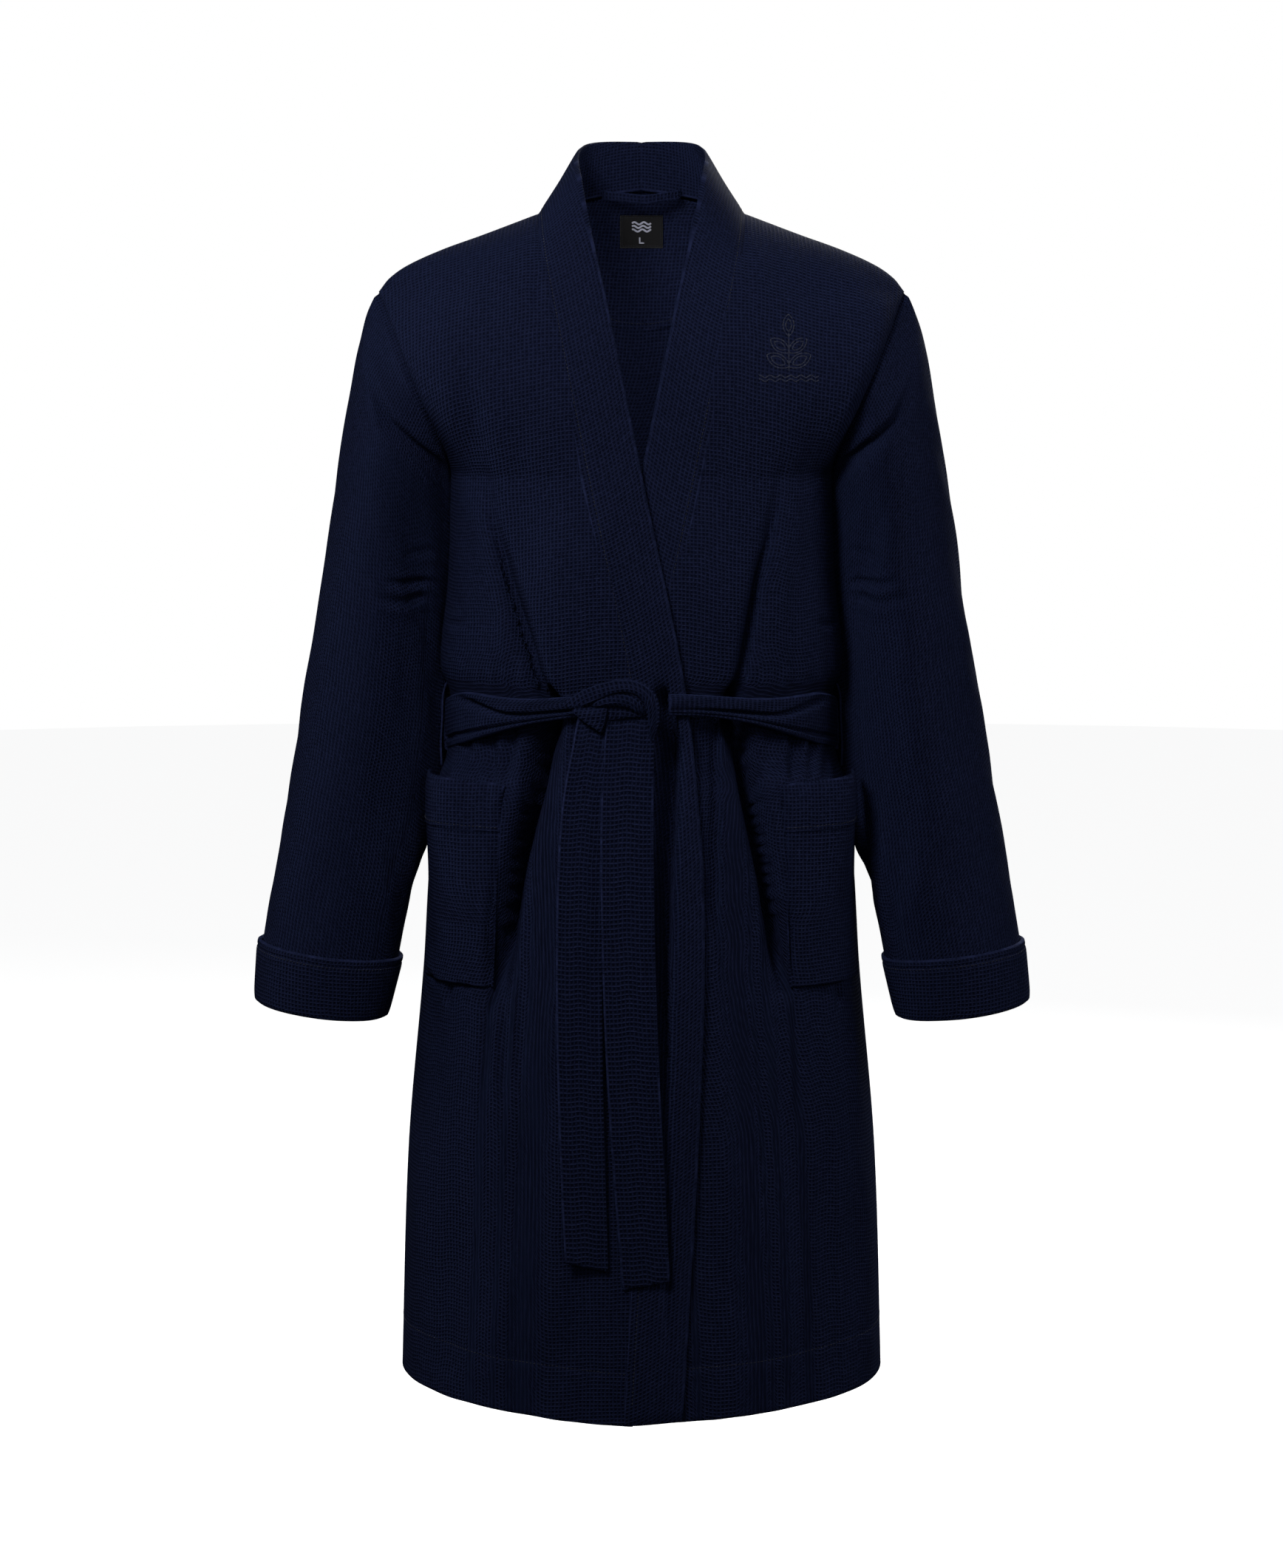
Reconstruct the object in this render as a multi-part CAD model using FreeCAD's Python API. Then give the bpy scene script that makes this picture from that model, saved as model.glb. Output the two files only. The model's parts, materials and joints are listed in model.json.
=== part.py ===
import FreeCAD, Part
import math
import os

# A wrap-over bathrobe of waffle cloth, hanging as it is worn, tied with its own belt.
# Millimetres. +X is the wearer's left, the front faces -Y, +Z is up.
# The origin is on the centre back neck seam, where the hanger loop is sewn.
# Every piece of cloth is a thin closed solid; the sleeves, the hanger loop and the
# belt's two hanging ends are separate bodies, so they keep clear of the rest.

Vector = FreeCAD.Vector

# ---------------------------------------------------------------- driving sizes
CLOTH = 2.4                  # thickness of one layer of waffle cloth as modelled
DOUBLE = 4.0                 # thickness of a folded band
CLEAR = 1.6                  # space between layers that lie on one another
SEAM = 0.5                   # space between two pieces sewn edge to edge

NECK_HALF = 92.0             # half width between the two shoulder and neck points
NECK_DROP = 28.0             # the shoulder and neck point below the nape
NECK_DEEP = 62.0             # how far forward of the nape that point lies
SHOULDER_HALF = 230.0        # half width between the armhole tops
SHOULDER_Z = -90.0           # height of the armhole top
UNDERARM_HALF = 167.0        # half width between the underarm points
UNDERARM_Z = -254.0          # height of the underarm point
SIDE_Y = -78.0               # the side seams' place, front to back
ARMHOLE_DEEP = 68.0          # half depth of the armhole, front to back
RIDGE_FRONT = 165.0          # height over which the chest falls away from the shoulder
RIDGE_BACK = 215.0           # the same at the back

HEM_SIDE_Z = -1046.0
HEM_FRONT_Z = -1060.0

BAND_WIDTH = 48.0
OVERLAP_LIFT = 7.6           # the right front stands this far off the left one

BELT_WIDTH = 40.0
BELT_STAND = 4.0             # the belt's inner face off the body, for the cloth it gathers
BELT_SIDE_Z = -475.0
BELT_FRONT_Z = -452.0
KNOT = (-22.0, -453.0)       # middle of the knot, across and up
KNOT_SIZE = (66.0, 27.0, 46.0)

POCKET_TOP = -519.0
POCKET_BOTTOM = -690.0
POCKET_BAND = 30.0
POCKET_BELLY = 18.0          # how far the mouth stands open
POCKET_SPAN = (0.66, 0.972)  # inner and outer side edge, as shares of the half width

HEIGHT_STATIONS = (-254.0, -345.0, -422.0, -446.0, -475.0, -504.0, -530.0, -606.0, -690.0,
                   -850.0, -1062.0)
HALF_WIDTHS = (167.0, 170.0, 177.0, 168.0, 166.0, 168.0, 179.0, 187.0, 193.0, 207.0, 214.0)
FRONT_DEPTHS = (-192.0, -200.0, -195.0, -188.0, -187.5, -191.0, -202.0, -210.0, -214.0,
                -218.0, -223.0)
BACK_DEPTHS = (34.0, 28.0, 18.0, 12.0, 10.0, 13.0, 24.0, 44.0, 52.0, 56.0, 60.0)

BAND_SEAM_HEIGHTS = (-28.0, -75.0, -132.0, -300.0, -440.0, -540.0, -640.0, -830.0, -950.0,
                     -1062.0)
BAND_SEAM_X = (92.0, 86.0, 75.0, 41.0, 12.0, 1.0, -4.0, 2.0, 9.0, 15.0)

# Sleeve stations from the armhole to the cuff: the outer edge point and the inner
# edge point (x outwards, z), and the half depth and place of the middle, front to back.
SLEEVE_STATIONS = (
    ((233.0, -88.5), (172.5, -258.0), 66.0, -78.0),
    ((247.0, -132.0), (173.5, -288.0), 67.0, -78.0),
    ((259.0, -196.0), (174.5, -318.0), 66.0, -79.0),
    ((271.0, -272.0), (178.0, -356.0), 64.0, -80.0),
    ((286.0, -376.0), (184.5, -412.0), 63.0, -82.0),
    ((303.0, -482.0), (186.0, -500.0), 62.0, -85.0),
    ((324.0, -600.0), (201.0, -616.0), 61.0, -90.0),
    ((335.0, -664.0), (213.5, -680.0), 60.5, -93.0),
    ((342.0, -714.0), (223.0, -730.0), 60.0, -95.0),
)
CUFF_HEIGHT = 50.0

LABEL_SIZE = (38.0, 31.0)
LABEL_TOP = -22.0
FACING_HALF = 72.0
FACING_DEPTH = 128.0
LINING_TURN = 9.0            # how far the facing's side edges turn in, off the back
FACING_CLEAR = 2.2           # gap between the back and the facing
FACING_THICK = 1.2
LABEL_CLEAR = 4.0            # gap between the back and the label
LABEL_THICK = 0.9
EMBLEM_BOX = (98.0, 152.0, -176.0, -114.0)   # low and high x, low and high z

LOOP_HALF = 35.0
LOOP_WIDTH = 7.0
LOOP_THICK = 2.4
LOOP_BOW = 9.0
LOOP_DROOP = 5.0
LOOP_PIVOT = (-12.5, -1.0)   # y and z of the line that the loop folds about

PARTS = "parts"


# ---------------------------------------------------------------- curves and helpers
def profile(stations, values):
    """A smooth curve through the values, as a function of height."""
    def slope(index):
        low = max(index - 1, 0)
        high = min(index + 1, len(stations) - 1)
        return (values[high] - values[low]) / (stations[high] - stations[low])

    def at(place):
        descending = stations[0] > stations[-1]
        first, last = stations[0], stations[-1]
        place = max(min(place, max(first, last)), min(first, last))
        index = 0
        for number in range(len(stations) - 1):
            inside = place <= stations[number] if descending else place >= stations[number]
            if inside:
                index = number
        span = stations[index + 1] - stations[index]
        t = (place - stations[index]) / span
        rise_a = slope(index) * span
        rise_b = slope(index + 1) * span
        return ((2 * t ** 3 - 3 * t ** 2 + 1) * values[index]
                + (t ** 3 - 2 * t ** 2 + t) * rise_a
                + (3 * t ** 2 - 2 * t ** 3) * values[index + 1]
                + (t ** 3 - t ** 2) * rise_b)

    return at


half_width_below = profile(HEIGHT_STATIONS, HALF_WIDTHS)
front_depth = profile(HEIGHT_STATIONS, FRONT_DEPTHS)
back_depth = profile(HEIGHT_STATIONS, BACK_DEPTHS)
band_seam_x = profile(BAND_SEAM_HEIGHTS, BAND_SEAM_X)


def mix(a, b, t):
    return a + (b - a) * t


def smooth_step(value, start, end):
    t = min(max((value - start) / (end - start), 0.0), 1.0)
    return t * t * (3.0 - 2.0 * t)


def spread(count):
    """count + 1 even steps from 0 to 1."""
    return [index / count for index in range(count + 1)]


def half_width(z):
    """Half width of the robe's body: the side seam below the underarm, the armhole above."""
    if z <= UNDERARM_Z:
        return half_width_below(z)
    t = min((z - UNDERARM_Z) / (SHOULDER_Z - UNDERARM_Z), 1.0)
    return mix(UNDERARM_HALF, SHOULDER_HALF, t)


def ridge_height(x):
    """Height of the shoulder seam, and of the back neck seam between the shoulders."""
    x = abs(x)
    if x < NECK_HALF:
        return -NECK_DROP * (x / NECK_HALF) ** 2
    t = (x - NECK_HALF) / (SHOULDER_HALF - NECK_HALF)
    return mix(-NECK_DROP, SHOULDER_Z, min(t, 1.0) ** 1.8)


def ridge_place(x):
    """Place of the same seams, front to back."""
    x = abs(x)
    if x < NECK_HALF:
        return -NECK_DEEP * (1.0 - math.sqrt(1.0 - (x / NECK_HALF) ** 2))
    t = (x - NECK_HALF) / (SHOULDER_HALF - NECK_HALF)
    return mix(-NECK_DEEP, SIDE_Y, min(t, 1.0))


def armhole_bulge(z):
    """How far the armhole's edge lies before or behind the side seam."""
    if z <= UNDERARM_Z:
        return 0.0
    t = min((z - UNDERARM_Z) / (SHOULDER_Z - UNDERARM_Z), 1.0)
    return ARMHOLE_DEEP * math.sin(math.pi * t) ** 0.75


def section(x, z, middle, bulge, inset):
    """Front or back surface of one level section, set in by inset all round."""
    edge = SIDE_Y + bulge
    share = min(abs(x) / (half_width(z) - inset), 1.0)
    return edge + (middle - edge) * (1.0 - share ** 2.3) ** (1 / 2.3)


def shoulder_share(x, z, reach, neck_z):
    """0 on the shoulder seam, 1 where the body has its full depth."""
    top = neck_z if abs(x) < NECK_HALF else ridge_height(x)
    down = min(max(top - z, 0.0) / reach, 1.0)
    return math.sqrt(1.0 - (1.0 - down) ** 2)


def front_y(x, z, inset):
    """Front surface; a negative inset lies outside the cloth's nominal outer face."""
    full = section(x, z, front_depth(z) + inset, -armhole_bulge(z), inset)
    ridge = -NECK_DEEP if abs(x) < NECK_HALF else ridge_place(x)
    share = shoulder_share(x, z, RIDGE_FRONT, -NECK_DROP)
    return mix(ridge, full, share)


def back_y(x, z, inset):
    """Back surface, set in by inset."""
    full = section(x, z, back_depth(z) - inset, armhole_bulge(z), inset)
    share = shoulder_share(x, z, RIDGE_BACK, ridge_height(x))
    return mix(ridge_place(x) - inset * (abs(x) < NECK_HALF), full, share)


def even_knots(count):
    """Degree, multiplicities and knots of a clamped spline with count poles."""
    degree = min(3, count - 1)
    spans = count - degree
    multiplicities = [degree + 1] + [1] * (spans - 1) + [degree + 1]
    return degree, multiplicities, [float(knot) for knot in range(spans + 1)]


def surface(grid):
    """A smooth face drawn by a grid of points, which it passes through at its corners."""
    degree_u, mults_u, knots_u = even_knots(len(grid))
    degree_v, mults_v, knots_v = even_knots(len(grid[0]))
    face = Part.BSplineSurface()
    face.buildFromPolesMultsKnots(grid, mults_u, mults_v, knots_u, knots_v, False, False,
                                  degree_u, degree_v)
    return face.toShape()


def closed_solid(faces):
    """The solid inside faces that meet along all their edges."""
    shell = Part.Shell(faces)
    shell.sewShape()
    solid = Part.Solid(shell)
    if solid.Volume < 0:
        solid.reverse()
    return solid


def sheet(outer, inner):
    """A closed solid between two grids of points that have the same size."""
    faces = [surface(outer), surface(inner)]
    for outer_edge, inner_edge in zip(faces[0].Edges, faces[1].Edges):
        faces.append(Part.makeRuledSurface(outer_edge, inner_edge, 1))
    return closed_solid(faces)


def mirror_x(shape):
    return shape.mirror(Vector(0, 0, 0), Vector(1, 0, 0))


# ---------------------------------------------------------------- body panels
# Rows of the body panels: the height at the side edge, and at the middle or front edge.
UPPER_ROWS = (0.0, 0.03, 0.08, 0.15, 0.23, 0.32, 0.42, 0.53, 0.65, 0.77, 0.89, 1.0)
LOWER_HEIGHTS = (-300.0, -345.0, -390.0, -422.0, -445.0, -462.0, -480.0, -500.0, -530.0,
                 -570.0, -620.0, -690.0, -770.0, -850.0, -950.0)


def row_heights(inner_top, inner_underarm, inner_hem):
    """Pairs of heights, at the side edge and at the inner edge, from the top down."""
    rows = []
    for t in UPPER_ROWS:
        rows.append((mix(SHOULDER_Z, UNDERARM_Z, t), mix(inner_top, inner_underarm, t)))
    for z in LOWER_HEIGHTS:
        t = (z - UNDERARM_Z) / (HEM_SIDE_Z - UNDERARM_Z)
        shift = mix(inner_underarm - UNDERARM_Z, inner_hem - HEM_SIDE_Z, t)
        rows.append((z, z + shift))
    rows.append((HEM_SIDE_Z, inner_hem))
    return rows


def right_lift(x, z):
    """How far the right front stands off the body, to pass over the left front."""
    return OVERLAP_LIFT * smooth_step(x, -108.0, -62.0) * smooth_step(-z, 150.0, 250.0)


def front_panel(lifted, inset):
    """Grid of the wearer's right front, or of the left front drawn on the right side."""
    grid = []
    rows = row_heights(-NECK_DROP, -246.0, HEM_FRONT_Z)
    for number, (side_z, inner_z) in enumerate(rows):
        power = mix(1.8, 1.0, min(number / (len(UPPER_ROWS) - 1), 1.0))
        x_side = -(half_width(side_z) - inset)
        x_seam = -band_seam_x(inner_z)
        points = []
        for t in spread(20):
            turn = math.sin(t * math.pi / 2)
            x = mix(x_seam, x_side, turn)
            z = mix(inner_z, side_z, turn ** power)
            lift = right_lift(x, z) if lifted else 0.0
            y = front_y(x, z, inset - lift)
            if t == 1.0:
                y = min(y, SIDE_Y - armhole_bulge(side_z) - SEAM / 2)
            level = 1.0 - shoulder_share(x, z, RIDGE_FRONT, -NECK_DROP)
            points.append(Vector(x, y, z - inset * level))
        grid.append(points)
    return grid


def back_panel():
    rows = row_heights(0.0, UNDERARM_Z, HEM_SIDE_Z)
    grids = []
    for inset in (0.0, CLOTH):
        grid = []
        for number, (side_z, inner_z) in enumerate(rows):
            fade = max(1.0 - number / (len(UPPER_ROWS) - 1), 0.0)
            points = []
            for t in spread(36):
                turn = math.sin((2 * t - 1) * math.pi / 2)
                x = turn * (half_width(side_z) - inset)
                z = mix(side_z, ridge_height(x), fade)
                y = back_y(x, z, inset)
                if abs(turn) == 1.0:
                    y = max(y, SIDE_Y + armhole_bulge(side_z) + SEAM / 2)
                level = 1.0 - shoulder_share(x, z, RIDGE_BACK, ridge_height(x))
                points.append(Vector(x, y, z - inset * level))
            grid.append(points)
        grids.append(grid)
    return sheet(*grids)


def right_front():
    return sheet(front_panel(True, 0.0), front_panel(True, CLOTH))


def left_front():
    return mirror_x(sheet(front_panel(False, 0.0), front_panel(False, CLOTH)))


# ---------------------------------------------------------------- neckband
# Round the neck the band stands up: seam edge and free edge, from the centre back
# forwards, on the wearer's right.
NECK_SEAM = ((0.3, 0.0, 0.6), (34.0, -3.6, -3.0), (64.0, -16.0, -11.0), (84.0, -36.0, -20.0),
             (92.5, -62.0, -27.0))
NECK_FREE = ((0.3, 18.0, 38.0), (26.0, 14.0, 38.5), (46.0, 0.0, 37.0), (57.0, -24.0, 32.0),
             (59.5, -54.0, 20.0))
STANDING = Vector(33.0, 6.0, 46.0)       # from seam to free edge beside the neck
# Heights of the band's seam points down the front.
FRONT_BAND_HEIGHTS = (-33.0, -44.0, -60.0, -82.0, -112.0, -150.0, -195.0, -245.0, -300.0,
                      -355.0, -410.0, -465.0, -520.0, -580.0, -640.0, -700.0, -760.0,
                      -820.0, -880.0, -940.0, -1000.0, -1059.5)


def band_row(start, end, bow, thickness):
    """Outer and inner points across the band from its seam to its free edge."""
    points = (start, (start + end) * 0.5 + bow, end)
    return list(points), [point + thickness for point in points]


def band_front_point(x, z, lifted):
    lift = OVERLAP_LIFT * smooth_step(-z, 150.0, 250.0) if lifted else 0.0
    return Vector(x, front_y(x, z, -(lift + 0.8)), z)


def neckband(lifted):
    """One half of the band, on the wearer's right side, from centre back to hem."""
    outer = []
    inner = []
    for seam, free in zip(NECK_SEAM, NECK_FREE):
        start = Vector(-seam[0], seam[1], seam[2])
        end = Vector(-free[0], free[1], free[2])
        middle = (start + end) * 0.5
        inwards = Vector(-middle.x, -70.0 - middle.y, 12.0)
        inwards.normalize()
        rows = band_row(start, end, inwards * 2.0, inwards * DOUBLE)
        outer.append(rows[0])
        inner.append(rows[1])
    backwards = Vector(0.0, 1.0, 0.0)
    for z in FRONT_BAND_HEIGHTS:
        x = SEAM - band_seam_x(z)
        slope = (band_seam_x(z + 4.0) - band_seam_x(z - 4.0)) / 8.0
        across = Vector(1.0, 0.0, slope)
        across.normalize()
        across = across * BAND_WIDTH
        start = band_front_point(x, z, lifted)
        lying = band_front_point(x + across.x, z + across.z, lifted)
        turned = smooth_step(-z, 20.0, 120.0)
        end = (start + STANDING) * (1.0 - turned) + lying * turned
        centre = band_front_point(x + across.x / 2, z + across.z / 2, lifted)
        bow = (centre - (start + lying) * 0.5) * turned
        inwards = inwards * (1.0 - turned) + backwards * turned
        inwards.normalize()
        rows = band_row(start, end, bow, inwards * DOUBLE)
        outer.append(rows[0])
        inner.append(rows[1])
    return sheet(outer, inner)


# ---------------------------------------------------------------- inside of the back neck
def back_lining(x_low, x_high, top, bottom, inset, thick, columns, rows):
    """A thin piece on the inner face of the back; top and bottom are functions of x."""
    grids = []
    for layer in (inset, inset + thick):
        grid = []
        for v in spread(rows):
            points = []
            for u in spread(columns):
                x = mix(x_low, x_high, u)
                z = mix(top(x), bottom(x), v)
                turned_in = LINING_TURN * (x / FACING_HALF) ** 4
                level = 1.0 - shoulder_share(x, z, RIDGE_BACK, ridge_height(x))
                y = back_y(x, z, 0.0) - layer - turned_in
                points.append(Vector(x, y, z - layer * level))
            grid.append(points)
        grids.append(grid)
    return sheet(*grids)


def back_neck_facing():
    def top(x):
        return ridge_height(x) - 4.0

    def bottom(x):
        share = min(abs(x) / FACING_HALF, 1.0)
        return ridge_height(x) - 14.0 - (FACING_DEPTH - 14.0) * math.sqrt(1.0 - share ** 2.2)

    return back_lining(-FACING_HALF, FACING_HALF, top, bottom, CLOTH + FACING_CLEAR, FACING_THICK,
                       28, 14)


def neck_label():
    def top(_x):
        return LABEL_TOP

    def bottom(_x):
        return LABEL_TOP - LABEL_SIZE[1]

    half = LABEL_SIZE[0] / 2
    return back_lining(-half, half, top, bottom, CLOTH + LABEL_CLEAR, LABEL_THICK, 8, 6)


def hanger_loop():
    """A short strip, sewn down at both ends, that bows away from the neck and droops."""
    pivot_y, pivot_z = LOOP_PIVOT
    grids = []
    for layer in (0.0, LOOP_THICK):
        grid = []
        for v in spread(2):
            points = []
            for u in spread(12):
                x = mix(-LOOP_HALF, LOOP_HALF, u)
                bow = math.sin(math.pi * u) ** 0.6
                y = pivot_y - LOOP_BOW * bow - layer
                z = pivot_z - 1.0 - LOOP_DROOP * bow - LOOP_WIDTH * v
                points.append(Vector(x, y, z))
            grid.append(points)
        grids.append(grid)
    return sheet(*grids)


# ---------------------------------------------------------------- sleeves and cuffs
def sleeve_row(station, grow, front):
    """Half of one section of the right sleeve, from its outer edge to its inner edge."""
    (outer_x, outer_z), (inner_x, inner_z), depth, place = station
    outer_point = Vector(-outer_x, place, outer_z)
    inner_point = Vector(-inner_x, place, inner_z)
    middle = (outer_point + inner_point) * 0.5
    half = (outer_point - inner_point) * 0.5
    across = Vector(half)
    across.normalize()
    side = -1.0 if front else 1.0
    points = []
    for t in spread(10):
        angle = math.pi * t
        reach = across * ((half.Length + grow) * math.cos(angle))
        points.append(middle + reach + Vector(0, side * (depth + grow) * math.sin(angle), 0))
    return points


def between(first, second, t):
    """A station between two stations, or beyond them where t is outside 0 to 1."""
    outer = tuple(mix(a, b, t) for a, b in zip(first[0], second[0]))
    inner = tuple(mix(a, b, t) for a, b in zip(first[1], second[1]))
    return (outer, inner, mix(first[2], second[2], t), mix(first[3], second[3], t))


def tube(stations, grow, thick):
    """A tube through the stations, open at both ends, from a front and a back half."""
    faces = []
    for front in (True, False):
        outer, inner = [
            surface([sleeve_row(station, grow - inset, front) for station in stations])
            for inset in (0.0, thick)
        ]
        faces += [outer, inner]
        for outer_end, inner_end in zip(outer.ParameterRange[:2], inner.ParameterRange[:2]):
            outer_rim = outer.Surface.uIso(outer_end).toShape()
            inner_rim = inner.Surface.uIso(inner_end).toShape()
            faces.append(Part.makeRuledSurface(outer_rim, inner_rim, 1))
    return closed_solid(faces)


def sleeve():
    return tube(SLEEVE_STATIONS, 0.0, CLOTH)


def cuff():
    end = SLEEVE_STATIONS[-1]
    before = SLEEVE_STATIONS[-2]
    run = math.hypot(end[0][0] - before[0][0], end[0][1] - before[0][1])
    shares = (1.0 - CUFF_HEIGHT / run, 1.0 - CUFF_HEIGHT / run / 2, 1.0 + 1.5 / run)
    stations = [between(before, end, share) for share in shares]
    return tube(stations, SEAM + DOUBLE, DOUBLE)


# ---------------------------------------------------------------- pockets
def pocket_offset(u, v):
    """How far the pocket's outer face stands off the front: u across, v down."""
    belly = POCKET_BELLY * math.sin(math.pi * u) ** 0.8 * (1.0 - 0.85 * v ** 1.5)
    return CLEAR + CLOTH + belly


def pocket_grid(z_high, z_low, inset, columns, rows):
    """Part of the pocket's face between two heights, on the wearer's right."""
    grid = []
    for v in spread(rows):
        z = mix(z_high, z_low, v)
        down = (POCKET_TOP - z) / (POCKET_TOP - POCKET_BOTTOM)
        points = []
        for u in spread(columns):
            share = mix(POCKET_SPAN[0], POCKET_SPAN[1], u)
            stand = pocket_offset(u, down) - inset
            x = share * half_width(z)
            y = front_y(x, z, 0.0)
            slope_x = front_y(x + 1.0, z, 0.0) - front_y(x - 1.0, z, 0.0)
            normal = Vector(slope_x / 2.0, -1.0, 0.0)
            normal.normalize()
            points.append(Vector(-(x + normal.x * stand), y + normal.y * stand, z))
        grid.append(points)
    return grid


def pocket():
    """The patch below its mouth band."""
    top = POCKET_TOP - POCKET_BAND
    return sheet(pocket_grid(top, POCKET_BOTTOM, 0.0, 10, 6),
                 pocket_grid(top, POCKET_BOTTOM, CLOTH, 10, 6))


def pocket_band():
    """The double band along the pocket's mouth."""
    bottom = POCKET_TOP - POCKET_BAND + SEAM
    return sheet(pocket_grid(POCKET_TOP, bottom, -1.0, 10, 3),
                 pocket_grid(POCKET_TOP, bottom, CLOTH, 10, 3))


# ---------------------------------------------------------------- belt
def belt_height(share_front):
    """Height of the belt's middle; share_front is 0 at the sides and back, 1 in front."""
    return mix(BELT_SIDE_Z, BELT_FRONT_Z, share_front ** 1.5)


def belt_point(turn, down, stand):
    """A point on the belt: turn in degrees from the centre front, to the wearer's left."""
    angle = math.radians(turn)
    facing = math.cos(angle)
    ahead = max(facing, 0.0)
    middle = belt_height(ahead)
    height = mix(BELT_WIDTH, 30.0, smooth_step(ahead, 0.55, 1.0))
    x = math.sin(angle) * (half_width(middle) + stand)
    lift = (OVERLAP_LIFT + 1.4) * smooth_step(ahead, 0.45, 0.8)
    if facing > 0:
        y = front_y(x, middle, -(stand + lift))
    else:
        y = back_y(x, middle, -stand)
    return Vector(x, y, middle + height * (0.5 - down))


def belt_wrap():
    """From one side of the knot round the back to the other side."""
    start, end = 9.0, 343.0
    grids = []
    for stand in (BELT_STAND + DOUBLE, BELT_STAND):
        grid = []
        for v in spread(2):
            grid.append([belt_point(mix(start, end, u), v, stand) for u in spread(48)])
        grids.append(grid)
    return sheet(*grids)


def belt_front_y():
    return front_depth(BELT_FRONT_Z) - OVERLAP_LIFT - BELT_STAND - DOUBLE - 1.4


def belt_knot():
    wide, deep, tall = KNOT_SIZE
    x, z = KNOT
    box = Part.makeBox(wide, deep, tall, Vector(x - wide / 2, belt_front_y() - deep, z - tall / 2))
    return box.makeFillet(9.0, box.Edges)


# Belt ends: height, left and right edge across, and the outer face's place.
LONG_END = ((-479.0, -30.0, 9.0, -222.0), (-540.0, -32.5, 9.5, -226.0),
            (-640.0, -32.5, 9.5, -229.5), (-760.0, -30.0, 12.0, -232.0),
            (-860.0, -22.0, 18.0, -234.0), (-937.0, -15.0, 22.0, -236.0))
SHORT_END = ((-479.0, -54.0, -32.5, -222.0), (-520.0, -67.0, -34.5, -224.5),
             (-600.0, -71.0, -34.5, -228.0), (-740.0, -70.0, -33.5, -231.0),
             (-850.0, -66.0, -31.0, -233.0), (-921.0, -63.0, -29.0, -235.0))


def belt_end(stations):
    outer = []
    inner = []
    for z, left, right, y in stations:
        outer.append([Vector(mix(left, right, t), y, z) for t in (0.0, 0.5, 1.0)])
        inner.append([Vector(mix(left, right, t), y + DOUBLE, z) for t in (0.0, 0.5, 1.0)])
    return sheet(outer, inner)


def belt_loop():
    """A narrow strip over the belt at the side seam, on the wearer's right."""
    heights = (-446.0, -451.0, -457.0, -475.0, -493.0, -499.0, -506.0)
    stands = (1.0, 6.4, 10.0, 10.4, 10.0, 6.4, 1.0)
    grids = []
    for thick in (1.8, 0.0):
        grid = []
        for z, stand in zip(heights, stands):
            x = -(half_width(z) + stand + thick)
            grid.append([Vector(x, SIDE_Y + shift, z) for shift in (-5.5, 0.0, 5.5)])
        grids.append(grid)
    return sheet(*grids)


def chest_emblem():
    """A thin embroidered patch of outline stitches on the left front."""
    low_x, high_x, low_z, high_z = EMBLEM_BOX
    grids = []
    for stand in (1.2, 0.4):
        grid = []
        for v in spread(4):
            z = mix(high_z, low_z, v)
            row = []
            for u in spread(4):
                x = mix(low_x, high_x, u)
                row.append(Vector(x, front_y(x, z, 0.0) - stand, z))
            grid.append(row)
        grids.append(grid)
    return sheet(*grids)


def build():
    """Every node's name and solid."""
    right_sleeve = sleeve()
    right_cuff = cuff()
    right_pocket = pocket()
    right_pocket_band = pocket_band()
    right_belt_loop = belt_loop()
    return {
        "back_panel": back_panel(),
        "right_front_panel": right_front(),
        "left_front_panel": left_front(),
        "right_neckband": neckband(True),
        "left_neckband": mirror_x(neckband(False)),
        "back_neck_facing": back_neck_facing(),
        "neck_label": neck_label(),
        "hanger_loop": hanger_loop(),
        "right_sleeve": right_sleeve,
        "left_sleeve": mirror_x(right_sleeve),
        "right_cuff": right_cuff,
        "left_cuff": mirror_x(right_cuff),
        "right_pocket": right_pocket,
        "left_pocket": mirror_x(right_pocket),
        "right_pocket_band": right_pocket_band,
        "left_pocket_band": mirror_x(right_pocket_band),
        "right_belt_loop": right_belt_loop,
        "left_belt_loop": mirror_x(right_belt_loop),
        "belt_wrap": belt_wrap(),
        "belt_knot": belt_knot(),
        "belt_long_end": belt_end(LONG_END),
        "belt_short_end": belt_end(SHORT_END),
        "chest_emblem": chest_emblem(),
    }


def main():
    os.makedirs(PARTS, exist_ok=True)
    for name, shape in build().items():
        shape.exportStep(os.path.join(PARTS, name + ".step"))
        print(name, "valid" if shape.isValid() else "NOT VALID", round(shape.Volume / 1000.0, 1), "cm3")


main()
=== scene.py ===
"""A wrap-over bathrobe of navy waffle cloth, hanging as it is worn and tied with its own belt.

Sizes are in millimetres, as a pattern cutter gives them; cloth_object turns them into metres.
+X is the wearer's left, the front faces -Y and +Z is up, from the centre of the back neck seam.
"""
import json
import logging
import math
from dataclasses import dataclass
from enum import Enum
from typing import Sequence

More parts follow.
